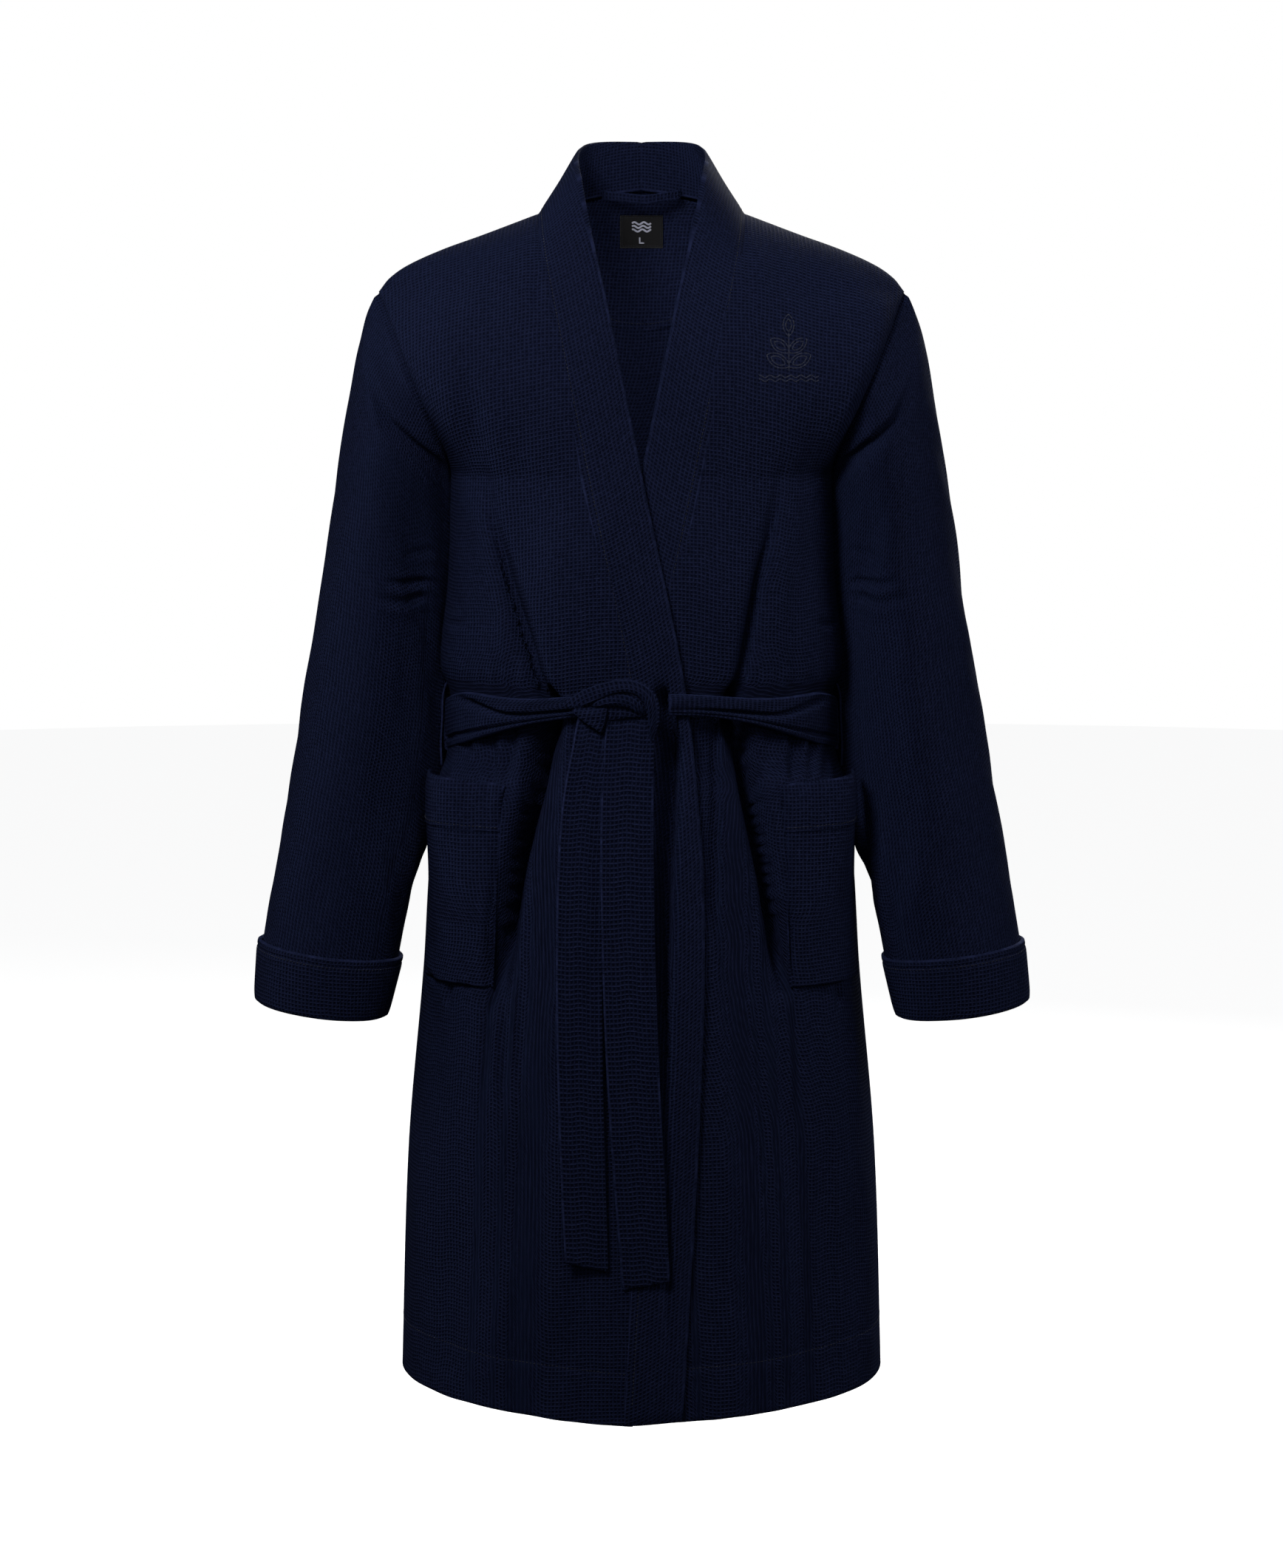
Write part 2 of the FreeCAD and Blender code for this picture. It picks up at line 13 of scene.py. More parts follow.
import bpy
import numpy as np
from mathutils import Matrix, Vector

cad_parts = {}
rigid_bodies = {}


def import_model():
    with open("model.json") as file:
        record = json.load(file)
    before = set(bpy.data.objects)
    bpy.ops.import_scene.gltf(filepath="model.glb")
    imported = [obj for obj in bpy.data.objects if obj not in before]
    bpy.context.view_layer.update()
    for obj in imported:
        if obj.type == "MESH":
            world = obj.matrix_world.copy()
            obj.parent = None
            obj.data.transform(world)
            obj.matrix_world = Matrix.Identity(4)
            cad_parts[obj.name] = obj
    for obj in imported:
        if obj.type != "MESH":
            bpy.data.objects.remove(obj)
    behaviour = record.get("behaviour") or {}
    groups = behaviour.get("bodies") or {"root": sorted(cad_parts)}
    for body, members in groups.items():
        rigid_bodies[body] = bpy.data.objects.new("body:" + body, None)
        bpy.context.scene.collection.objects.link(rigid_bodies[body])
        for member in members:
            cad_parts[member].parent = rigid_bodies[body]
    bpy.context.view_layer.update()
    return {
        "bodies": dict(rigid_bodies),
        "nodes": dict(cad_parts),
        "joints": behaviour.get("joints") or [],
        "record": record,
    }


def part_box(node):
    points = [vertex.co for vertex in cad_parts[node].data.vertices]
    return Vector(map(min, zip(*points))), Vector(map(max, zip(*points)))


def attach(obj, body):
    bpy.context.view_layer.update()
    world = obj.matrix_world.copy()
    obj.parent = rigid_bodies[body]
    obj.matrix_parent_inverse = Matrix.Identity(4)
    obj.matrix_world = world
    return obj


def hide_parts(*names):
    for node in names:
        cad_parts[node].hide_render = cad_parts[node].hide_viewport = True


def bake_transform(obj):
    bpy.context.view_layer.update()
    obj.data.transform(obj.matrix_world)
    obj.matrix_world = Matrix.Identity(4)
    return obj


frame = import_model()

logging.basicConfig(level=logging.INFO, format="%(name)s: %(message)s")
LOG = logging.getLogger("bathrobe")

MM = 0.001
Points = np.ndarray
Number = float | np.ndarray
Triple = tuple[float, float, float]
Series = tuple[float, ...]
Material = bpy.types.Material
Object = bpy.types.Object
Socket = bpy.types.NodeSocket


class Side(Enum):
    """The wearer's right, at negative x, or left."""

    RIGHT = -1
    LEFT = 1

    @property
    def word(self) -> str:
        """The side's name as piece names begin with it."""
        return self.name.lower()

    def place(self, points: Points) -> Points:
        """Points drawn on the wearer's right, put on this side."""
        return points * np.array([-self.value, 1.0, 1.0])


class FoldKind(Enum):
    """How a fold in the cloth is shaped across its line."""

    CREASE = "crease"
    PLEAT = "pleat"


# ---------------------------------------------------------------- curves and helpers
def mix(a: Number, b: Number, t: Number) -> Number:
    """The value a share t of the way from a to b."""
    return a + (b - a) * t


def smooth_step(value: Number, start: float, end: float) -> Number:
    """0 before start, 1 after end, with a smooth rise between them."""
    t = np.clip((value - start) / (end - start), 0.0, 1.0)
    return t * t * (3.0 - 2.0 * t)


@dataclass(frozen=True)
class Profile:
    """A smooth curve through values given at falling heights.

    Args:
        heights: Where the values hold, from the top down.
        values: One value for each height.
    """

    heights: Series
    values: Series

    def __call__(self, height: Number) -> Number:
        """The value at a height, or at each of several."""
        down = -np.asarray(self.heights)
        values = np.asarray(self.values)
        place = np.clip(-np.asarray(height, float), down[0], down[-1])
        index = np.clip(np.searchsorted(down, place, side="right") - 1, 0, len(down) - 2)
        last = len(down) - 1
        low, high = np.maximum(np.arange(last + 1) - 1, 0), np.minimum(np.arange(last + 1) + 1, last)
        slopes = (values[high] - values[low]) / (down[high] - down[low])
        span = down[index + 1] - down[index]
        t = (place - down[index]) / span
        return ((2 * t ** 3 - 3 * t ** 2 + 1) * values[index]
                + (t ** 3 - 2 * t ** 2 + t) * slopes[index] * span
                + (3 * t ** 2 - 2 * t ** 3) * values[index + 1]
                + (t ** 3 - t ** 2) * slopes[index + 1] * span)


def spline_weights(poles: int, places: Points) -> Points:
    """Weights of the poles of an even cubic spline that ends on its first and last pole.

    Args:
        poles: How many poles there are.
        places: Where to read the spline, from 0 to 1.

    Returns:
        A row of weights for each place.
    """
    degree = min(3, poles - 1)
    knots = np.concatenate([np.zeros(degree), np.linspace(0, 1, poles - degree + 1), np.ones(degree)])
    t = np.clip(places, 0.0, 1.0 - 1e-9)[:, None]
    basis = ((t >= knots[:-1]) & (t < knots[1:])).astype(float)
    for order in range(1, degree + 1):
        first = np.maximum(knots[order:-1] - knots[:-order - 1], 1e-12)
        second = np.maximum(knots[order + 1:] - knots[1:-order], 1e-12)
        basis = ((t - knots[:-order - 1]) / first * basis[:, :-1]
                 + (knots[order + 1:] - t) / second * basis[:, 1:])
    return basis


def spline_grid(poles: Points, rows: int, columns: int) -> Points:
    """A smooth surface through a grid of poles.

    Args:
        poles: Grid of points, rows by columns by 3.
        rows: How many rows of points to read.
        columns: How many points to read in each row.

    Returns:
        The surface's points, rows by columns by 3.
    """
    down = spline_weights(poles.shape[0], np.linspace(0, 1, rows))
    across = spline_weights(poles.shape[1], np.linspace(0, 1, columns))
    return np.einsum("ri,ijk,cj->rck", down, poles, across)


def unit(vectors: Points) -> Points:
    """The vectors at length 1."""
    return vectors / np.maximum(np.linalg.norm(vectors, axis=-1, keepdims=True), 1e-9)


def grid_normals(points: Points) -> Points:
    """Unit normals of a grid of points."""
    return unit(np.cross(np.gradient(points, axis=1), np.gradient(points, axis=0)))


def arc_lengths(points: Points, axis: int, parts: Sequence[int] = (0, 1, 2)) -> Points:
    """Lengths along a grid's rows or columns, from 0 at the first point.

    Args:
        points: Grid of points.
        axis: 0 to go down the columns, 1 to go along the rows.
        parts: The coordinates that count.
    """
    steps = np.linalg.norm(np.diff(points, axis=axis)[..., list(parts)], axis=-1)
    start = np.zeros_like(np.take(steps, [0], axis=axis))
    return np.cumsum(np.concatenate([start, steps], axis=axis), axis=axis)


def grid_quads(index: Points) -> Points:
    """The four corners of each cell of a grid of numbered points."""
    corners = (index[:-1, :-1], index[:-1, 1:], index[1:, 1:], index[1:, :-1])
    return np.stack(corners, -1).reshape(-1, 4)


def thread_map(points: Points) -> Points:
    """Places on the cut cloth for a piece whose threads run along its rows and columns."""
    return np.stack([arc_lengths(points, 1), arc_lengths(points, 0)], axis=-1)


def level_map(points: Points) -> Points:
    """Places on the cut cloth for a body panel, whose threads hang plumb."""
    across = points[:, :1, 0] + arc_lengths(points, 1, (0, 1)) * np.sign(points[0, -1, 0] - points[0, 0, 0])
    down = -points[:1, :, 2] + arc_lengths(points, 0, (1, 2))
    return np.stack([across, down], axis=-1)


def ripples(x: Points, z: Points, seed: int, size: float, height: float, waves: int = 9) -> Points:
    """A gentle unevenness, as hanging cloth has.

    Args:
        x: Places across.
        z: Places up.
        seed: Chooses the pattern.
        size: Typical distance from crest to crest.
        height: Typical height.
        waves: How many waves are added up.
    """
    random = np.random.default_rng(seed)
    total = np.zeros(np.broadcast(x, z).shape)
    for _ in range(waves):
        turn = random.uniform(-0.9, 0.9)
        pitch = 2.0 * math.pi / (size * random.uniform(0.7, 1.7))
        phase = random.uniform(0.0, 2.0 * math.pi)
        bend = 0.6 * np.sin(z / (size * 1.9) + phase * 2.0)
        total += np.sin(pitch * (x * math.cos(turn) + z * math.sin(turn) * 0.6) + phase + bend)
    return height * total / math.sqrt(waves)


# ---------------------------------------------------------------- meshes
def boundary_loops(index: Points, wrapped: bool) -> list[Points]:
    """The closed loops of grid numbers round a grid's rim, in its faces' direction."""
    if wrapped:
        return [index[0], index[-1, ::-1]]
    ring = np.concatenate([index[0, :-1], index[:-1, -1], index[-1, :0:-1], index[:0:-1, 0], index[0, :1]])
    return [ring]


def cloth_object(name: str, outer: Points, inner: Points, threads: Points, material: Material,
                 rounding: float = 0.6, wrapped: bool = False) -> Object:
    """A closed piece of cloth between an outer and an inner grid of points.

    Args:
        name: The piece's name.
        outer: Outer face, rows by columns by 3, in millimetres.
        inner: Inner face, the same size.
        threads: Place of each point on the cut cloth, rows by columns by 2, in millimetres.
        material: The piece's finish.
        rounding: How far the rim bulges out.
        wrapped: True where the last column meets the first, as round a tube.

    Returns:
        The finished object, at the origin.
    """
    rows, columns = outer.shape[:2]
    count = rows * columns
    index = np.arange(count).reshape(rows, columns)
    vertex = index.copy()
    if wrapped:
        vertex[:, -1] = vertex[:, 0]
    vertex = vertex.ravel()
    flat_outer, flat_inner = outer.reshape(-1, 3), inner.reshape(-1, 3)
    uv = threads.reshape(-1, 2)
    quads = grid_quads(index)
    faces = [vertex[quads], vertex[quads[:, ::-1]] + count]
    maps = [uv[quads], uv[quads[:, ::-1]]]
    rim = []
    for loop in boundary_loops(index, wrapped):
        row, column = loop // columns, loop % columns
        inside_column = column if wrapped else np.clip(column, 1, columns - 2)
        inside = np.clip(row, 1, rows - 2) * columns + inside_column
        outwards = unit(flat_outer[loop] - flat_outer[inside])
        middle = (flat_outer[loop] + flat_inner[loop]) / 2 + outwards * rounding
        start = 2 * count + sum(len(part) for part in rim)
        number = start + np.arange(len(loop))
        number[-1] = start
        rim.append(middle)
        a, b = loop[:-1], loop[1:]
        m, n = number[:-1], number[1:]
        faces += [np.stack([vertex[b], vertex[a], m, n], -1),
                  np.stack([n, m, vertex[a] + count, vertex[b] + count], -1)]
        maps += [np.stack([uv[b], uv[a], uv[a], uv[b]], 1)] * 2
    points = np.concatenate([flat_outer, flat_inner, *rim]) * MM
    corners = np.concatenate(faces)
    used, corners = np.unique(corners, return_inverse=True)
    return mesh_object(name, points[used], corners.reshape(-1, 4), material,
                       np.concatenate(maps).reshape(-1, 2) * MM)


def mesh_object(name: str, points: Points, faces: Points, material: Material, threads: Points,
                caps: Sequence[Sequence[int]] = ()) -> Object:
    """An object with smooth faces that all point outwards.

    Args:
        name: The piece's name.
        points: Its points in metres.
        faces: Point numbers of each four-cornered face.
        material: The piece's finish.
        threads: Place on the cut cloth of each corner of those faces, in metres.
        caps: Point numbers of faces that close its ends, turned as the others are.
    """
    a, b, c, d = (points[faces[:, i]] for i in range(4))
    volume = (np.einsum("ij,ij->i", a, np.cross(b, c)) + np.einsum("ij,ij->i", a, np.cross(c, d))).sum()
    if volume < 0.0:
        faces = faces[:, ::-1]
        threads = threads.reshape(len(faces), -1, 2)[:, ::-1].reshape(-1, 2)
        caps = [list(cap)[::-1] for cap in caps]
    mesh = bpy.data.meshes.new(name)
    mesh.from_pydata(points.tolist(), [], faces.tolist() + [list(cap) for cap in caps])
    mesh.polygons.foreach_set("use_smooth", np.ones(len(mesh.polygons), bool))
    threads = np.concatenate([threads, np.zeros((sum(len(cap) for cap in caps), 2))])
    layer = mesh.uv_layers.new(name="threads")
    layer.data.foreach_set("uv", np.ascontiguousarray(threads, np.float32).ravel())
    mesh.materials.append(material)
    mesh.update()
    made = bpy.data.objects.new(name, mesh)
    bpy.context.scene.collection.objects.link(made)
    LOG.info("%s: %d faces", name, len(faces))
    return made


# ---------------------------------------------------------------- finishes
class NodeWriter:
    """A short way to write the nodes of a tree."""

    tree: bpy.types.NodeTree

    def add(self, kind: str, inputs: dict[object, object], **settings: object) -> bpy.types.Node:
        """A node with its settings, and its inputs set to values or linked to other sockets."""
        node = self.tree.nodes.new(kind)
        for key, value in settings.items():
            setattr(node, key, value)
        for key, value in inputs.items():
            if isinstance(value, Socket):
                self.tree.links.new(value, node.inputs[key])
            else:
                node.inputs[key].default_value = value
        return node


class MaterialNodes(NodeWriter):
    """A material and its nodes."""

    def __init__(self, name: str) -> None:
        """An empty tree with a Principled shader on its output."""
        self.material = bpy.data.materials.new(name)
        self.material.use_nodes = True
        self.tree = self.material.node_tree
        self.shader = self.tree.nodes["Principled BSDF"]

    def set(self, **values: object) -> None:
        """Constant values on the shader's own sockets, named with _ for each space."""
        for socket, value in values.items():
            self.shader.inputs[socket.replace("_", " ")].default_value = value

    def math(self, operation: str, *values: object, clamp: bool = False) -> Socket:
        """The result of a sum on numbers or sockets."""
        node = self.add("ShaderNodeMath", dict(enumerate(values)), operation=operation, use_clamp=clamp)
        return node.outputs[0]

    def vector(self, operation: str, *values: object) -> Socket:
        """The result of a sum on vectors."""
        return self.add("ShaderNodeVectorMath", dict(enumerate(values)), operation=operation).outputs[0]

    def scaled(self, vector: Socket | Triple, scale: Socket) -> Socket:
        """A vector or colour times a number."""
        return self.add("ShaderNodeVectorMath", {0: vector, 3: scale}, operation="SCALE").outputs[0]

    def noise(self, vector: Socket, scale: float, detail: float = 2.0) -> Socket:
        """A noise pattern's value."""
        inputs = {"Vector": vector, "Scale": scale, "Detail": detail}
        return self.add("ShaderNodeTexNoise", inputs).outputs[0]

    def link(self, source: Socket, socket: str) -> None:
        """Feeds one of the shader's sockets."""
        self.tree.links.new(source, self.shader.inputs[socket])


@dataclass(frozen=True)
class WaffleCloth:
    """Cotton waffle: a grid of raised threads round square hollows.

    Args:
        name: The material's name.
        across: Distance between hollows along the weft, in millimetres.
        down: Distance between hollows along the warp.
        ribs: How much the level threads stand out over the upright ones.
        relief: Depth of each of the hollows, in millimetres.
        wander: How far a thread strays from its straight line, in millimetres.
        openness: Below 1, the hollows have steep sides and wide floors.
        ridge: Colour of the raised threads.
        shaded_hollow: Colour in the hollows, far darker than the threads: painted shade of their own depth.
    """

    name: str
    across: float = 3.4
    down: float = 3.3
    ribs: float = 0.0
    relief: float = 1.9
    wander: float = 3.0
    openness: float = 0.62
    ridge: Triple = (0.0160, 0.0215, 0.0640)
    shaded_hollow: Triple = (0.0009, 0.0012, 0.0042)

    def strayed(self, nodes: MaterialNodes, threads: Socket) -> Socket:
        """The map of threads with their small wanderings."""
        wobble = nodes.add("ShaderNodeTexNoise", {"Vector": threads, "Scale": 42.0, "Detail": 3.0})
        shift = nodes.vector("SUBTRACT", wobble.outputs[1], (0.5, 0.5, 0.5))
        return nodes.vector("MULTIPLY_ADD", shift, (self.wander * MM, self.wander * MM, 0.0), threads)

    def hollows(self, nodes: MaterialNodes, place: Socket) -> Socket:
        """1 in the middle of each of the hollows, 0 on the raised threads."""
        split = nodes.add("ShaderNodeSeparateXYZ", {0: place})
        slopes = []
        for part, pitch, steepness in ((0, self.across, 2.0 + self.ribs), (1, self.down, 2.0)):
            turns = nodes.math("MULTIPLY", split.outputs[part], 1.0 / (pitch * MM))
            slopes.append(nodes.math("MULTIPLY", nodes.math("PINGPONG", turns, 0.5), steepness))
        cell = nodes.math("SMOOTH_MIN", *slopes, 0.25)
        return nodes.math("POWER", nodes.math("MULTIPLY", cell, 1.0, clamp=True), self.openness)

    def fibres(self, nodes: MaterialNodes, place: Socket) -> Socket:
        """Fine fibres along the warp and the weft."""
        grains = ((1500.0, 420.0, 1.0), (420.0, 1700.0, 1.0))
        return nodes.math("MULTIPLY", *(nodes.noise(nodes.vector("MULTIPLY", place, grain), 1.0, 3.0)
                                        for grain in grains))

    def build(self) -> Material:
        """The material, reading the piece's own map of its threads."""
        nodes = MaterialNodes(self.name)
        nodes.set(Sheen_Weight=0.05, Sheen_Roughness=0.5, Sheen_Tint=(0.20, 0.32, 0.90, 1.0),
                  Specular_IOR_Level=0.03)
        threads = nodes.add("ShaderNodeUVMap", {}, uv_map="threads").outputs[0]
        place = self.strayed(nodes, threads)
        shaded_hollow = self.hollows(nodes, place)
        fuzz = self.fibres(nodes, place)
        patch = nodes.noise(threads, 11.0, 4.0)
        each_cell = nodes.math("MULTIPLY_ADD", nodes.noise(place, 210.0, 1.0), 0.9, 0.55)
        shade = nodes.math("MULTIPLY_ADD", nodes.math("SUBTRACT", patch, 0.5), 0.30, each_cell)
        fluffed = nodes.math("MULTIPLY_ADD", fuzz, 0.7, 0.82)
        lifted = nodes.math("MULTIPLY_ADD", shaded_hollow, -1.0, fluffed, clamp=True)
        # Painted shade: the hollows get a colour far darker than the raised threads, standing in for the
        # shade inside them; the bump gives their real depth.
        tones = {"Factor": lifted, 6: (*self.shaded_hollow, 1.0), 7: (*self.ridge, 1.0)}
        colour = nodes.add("ShaderNodeMix", tones, data_type="RGBA")
        nodes.link(nodes.scaled(colour.outputs[2], shade), "Base Color")
        rough = nodes.math("MULTIPLY_ADD", fuzz, 0.12, 0.74)
        nodes.link(nodes.math("MULTIPLY_ADD", shaded_hollow, 0.12, rough), "Roughness")
        fluff = nodes.math("MULTIPLY", fuzz, 0.35 * MM)
        height = nodes.math("MULTIPLY_ADD", shaded_hollow, -self.relief * MM, fluff)
        bump = nodes.add("ShaderNodeBump", {"Height": height, "Distance": 1.0, "Strength": 1.0})
        nodes.link(bump.outputs[0], "Normal")
        return nodes.material


@dataclass(frozen=True)
class SmoothCloth:
    """A plain close weave, as on tape, thread and labels.

    Args:
        name: The material's name.
        colour: Its colour.
        pitch: Distance between threads, in millimetres.
        relief: How far they stand up, in millimetres.
        worn: How much its colour varies.
    """

    name: str
    colour: Triple
    pitch: float = 0.45
    relief: float = 0.12
    worn: float = 0.35

    def build(self) -> Material:
        """The material, reading the piece's own place."""
        nodes = MaterialNodes(self.name)
        nodes.set(Sheen_Weight=0.15, Sheen_Roughness=0.4, Specular_IOR_Level=0.25)
        place = nodes.add("ShaderNodeTexCoord", {}).outputs["Object"]
        split = nodes.add("ShaderNodeSeparateXYZ", {0: place})
        turns = 2.0 * math.pi / (self.pitch * MM)
        warp = nodes.math("SINE", nodes.math("MULTIPLY", split.outputs[0], turns))
        weft = nodes.math("SINE", nodes.math("MULTIPLY", split.outputs[2], turns))
        weave = nodes.math("MULTIPLY", warp, weft)
        patch = nodes.noise(place, 60.0, 4.0)
        # Painted shade: the colour is lighter where the weave stands up and darker where it dips, following
        # its bump; the patches are random tone.
        shade = nodes.math("MULTIPLY_ADD", nodes.math("SUBTRACT", patch, 0.5), self.worn,
                           nodes.math("MULTIPLY_ADD", weave, 0.12, 1.0))
        nodes.link(nodes.scaled(self.colour, shade), "Base Color")
        nodes.link(nodes.math("MULTIPLY_ADD", patch, 0.2, 0.6), "Roughness")
        height = nodes.math("MULTIPLY", weave, self.relief * MM)
        bump = nodes.add("ShaderNodeBump", {"Height": height, "Distance": 1.0})
        nodes.link(bump.outputs[0], "Normal")
        return nodes.material


@dataclass(frozen=True)
class Finishes:
    """Every finish on the robe."""

    body: WaffleCloth = WaffleCloth("navy_waffle")
    belt: WaffleCloth = WaffleCloth("navy_waffle_belt", across=3.5, down=4.0, ribs=0.5)
    thread: SmoothCloth = SmoothCloth("navy_thread", (0.0045, 0.0062, 0.020), pitch=0.3)
    outline: SmoothCloth = SmoothCloth("outline_thread", (0.018, 0.024, 0.062), pitch=0.3)
    label: SmoothCloth = SmoothCloth("label_satin", (0.0022, 0.0022, 0.0035), pitch=0.35)
    mark: SmoothCloth = SmoothCloth("label_mark", (0.52, 0.53, 0.66), pitch=0.35)


class Wardrobe:
    """The built materials, made once each."""

    def __init__(self, finishes: Finishes) -> None:
        """Builds every finish."""
        self.body = finishes.body.build()
        self.belt = finishes.belt.build()
        self.thread = finishes.thread.build()
        self.outline = finishes.outline.build()
        self.label = finishes.label.build()
        self.mark = finishes.mark.build()


# ---------------------------------------------------------------- stitches
class StitchRows(NodeWriter):
    """Stitches of thread, laid along lines by Geometry Nodes."""

    inputs = {"Pitch": "Float", "Length": "Float", "Thread": "Float", "Unevenness": "Float",
              "Finish": "Material"}
    unevenness = 0.12

    def __init__(self) -> None:
        """Builds the node group."""
        self.tree = bpy.data.node_groups.new("stitch_rows", "GeometryNodeTree")
        self.tree.interface.new_socket("Lines", in_out="INPUT", socket_type="NodeSocketGeometry")
        for name, kind in self.inputs.items():
            self.tree.interface.new_socket(name, in_out="INPUT", socket_type="NodeSocket" + kind)
        self.tree.interface.new_socket("Stitches", in_out="OUTPUT", socket_type="NodeSocketGeometry")
        given = self.add("NodeGroupInput", {}).outputs
        curve = self.add("GeometryNodeMeshToCurve", {"Mesh": given["Lines"]})
        spaced = self.add("GeometryNodeResampleCurve", {"Curve": curve.outputs[0], "Length": given["Pitch"]},
                          mode="LENGTH")
        ball = self.add("GeometryNodeMeshUVSphere", {"Segments": 6, "Rings": 4, "Radius": 0.5})
        size = self.add("ShaderNodeCombineXYZ", {0: given["Length"], 1: given["Thread"], 2: given["Thread"]})
        stitch = self.add("GeometryNodeTransform", {"Geometry": ball.outputs[0], "Scale": size.outputs[0]})
        smooth = self.add("GeometryNodeSetShadeSmooth", {"Geometry": stitch.outputs[0]})
        tangent = self.add("GeometryNodeInputTangent", {})
        turned = self.add("FunctionNodeAlignRotationToVector", {"Vector": tangent.outputs[0]}, axis="X")
        low = self.add("ShaderNodeMath", {0: 1.0, 1: given["Unevenness"]}, operation="SUBTRACT")
        high = self.add("ShaderNodeMath", {0: 1.0, 1: given["Unevenness"]}, operation="ADD")
        uneven = self.add("FunctionNodeRandomValue", {2: low.outputs[0], 3: high.outputs[0], "Seed": 7})
        placed = self.add("GeometryNodeInstanceOnPoints", {
            "Points": spaced.outputs[0], "Instance": smooth.outputs[0], "Rotation": turned.outputs[0],
            "Scale": uneven.outputs[1]})
        real = self.add("GeometryNodeRealizeInstances", {"Geometry": placed.outputs[0]})
        finished = self.add("GeometryNodeSetMaterial",
                            {"Geometry": real.outputs[0], "Material": given["Finish"]})
        self.add("NodeGroupOutput", {0: finished.outputs[0]})

    def lay(self, name: str, body: str, lines: Sequence[Points], finish: Material,
            pitch: float = 3.3, length: float = 2.3, thread: float = 0.62) -> Object:
        """Stitches along lines, as one plain mesh that rides a body.

        Args:
            name: The piece's name.
            body: The body it rides.
            lines: Points of each line, in millimetres.
            finish: The thread's finish.
            pitch: Distance from stitch to stitch.
            length: Length of a stitch.
            thread: Thickness of the thread.
        """
        points, edges = [], []
        for line in lines:
            first = len(points)
            points += (np.asarray(line) * MM).tolist()
            edges += [(first + i, first + i + 1) for i in range(len(line) - 1)]
        mesh = bpy.data.meshes.new(name + "_lines")
        mesh.from_pydata(points, edges, [])
        source = bpy.data.objects.new(name + "_lines", mesh)
        bpy.context.scene.collection.objects.link(source)
        modifier = source.modifiers.new("stitches", "NODES")
        modifier.node_group = self.tree
        values = {"Pitch": pitch * MM, "Length": length * MM, "Thread": thread * MM,
                  "Unevenness": self.unevenness, "Finish": finish}
        for item in self.tree.interface.items_tree:
            if item.in_out == "INPUT" and item.name in values:
                modifier[item.identifier] = values[item.name]
        bpy.context.view_layer.update()
        graph = bpy.context.evaluated_depsgraph_get()
        made_mesh = bpy.data.meshes.new_from_object(source.evaluated_get(graph))
        made_mesh.name = name
        made = bpy.data.objects.new(name, made_mesh)
        bpy.context.scene.collection.objects.link(made)
        bpy.data.objects.remove(source)
        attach(made, body)
        LOG.info("%s: %d faces", name, len(made_mesh.polygons))
        return made


def level_line(outer: Points, values: Points, level: float, stand: Points) -> Points:
    """The line on a grid's surface where values, which fall down its columns, pass a level.

    Args:
        outer: Grid of points.
        values: A value for each point.
        level: The value to follow.
        stand: How far to move the line off the surface.
    """
    rows = np.arange(len(outer))
    place = np.array([np.interp(-level, -values[:, c], rows) for c in range(outer.shape[1])])
    low = np.minimum(place.astype(int), len(outer) - 2)
    share = (place - low)[:, None]
    column = np.arange(outer.shape[1])
    return mix(outer[low, column], outer[low + 1, column], share) + stand


# ---------------------------------------------------------------- folds
PLEAT_EDGE = 1.15       # over this distance a pleat's cloth turns down
OVERHANG_SHARE = 0.16   # of its depth, a pleat's edge reaches over its dip
OVERHANG_MOST = 4.0


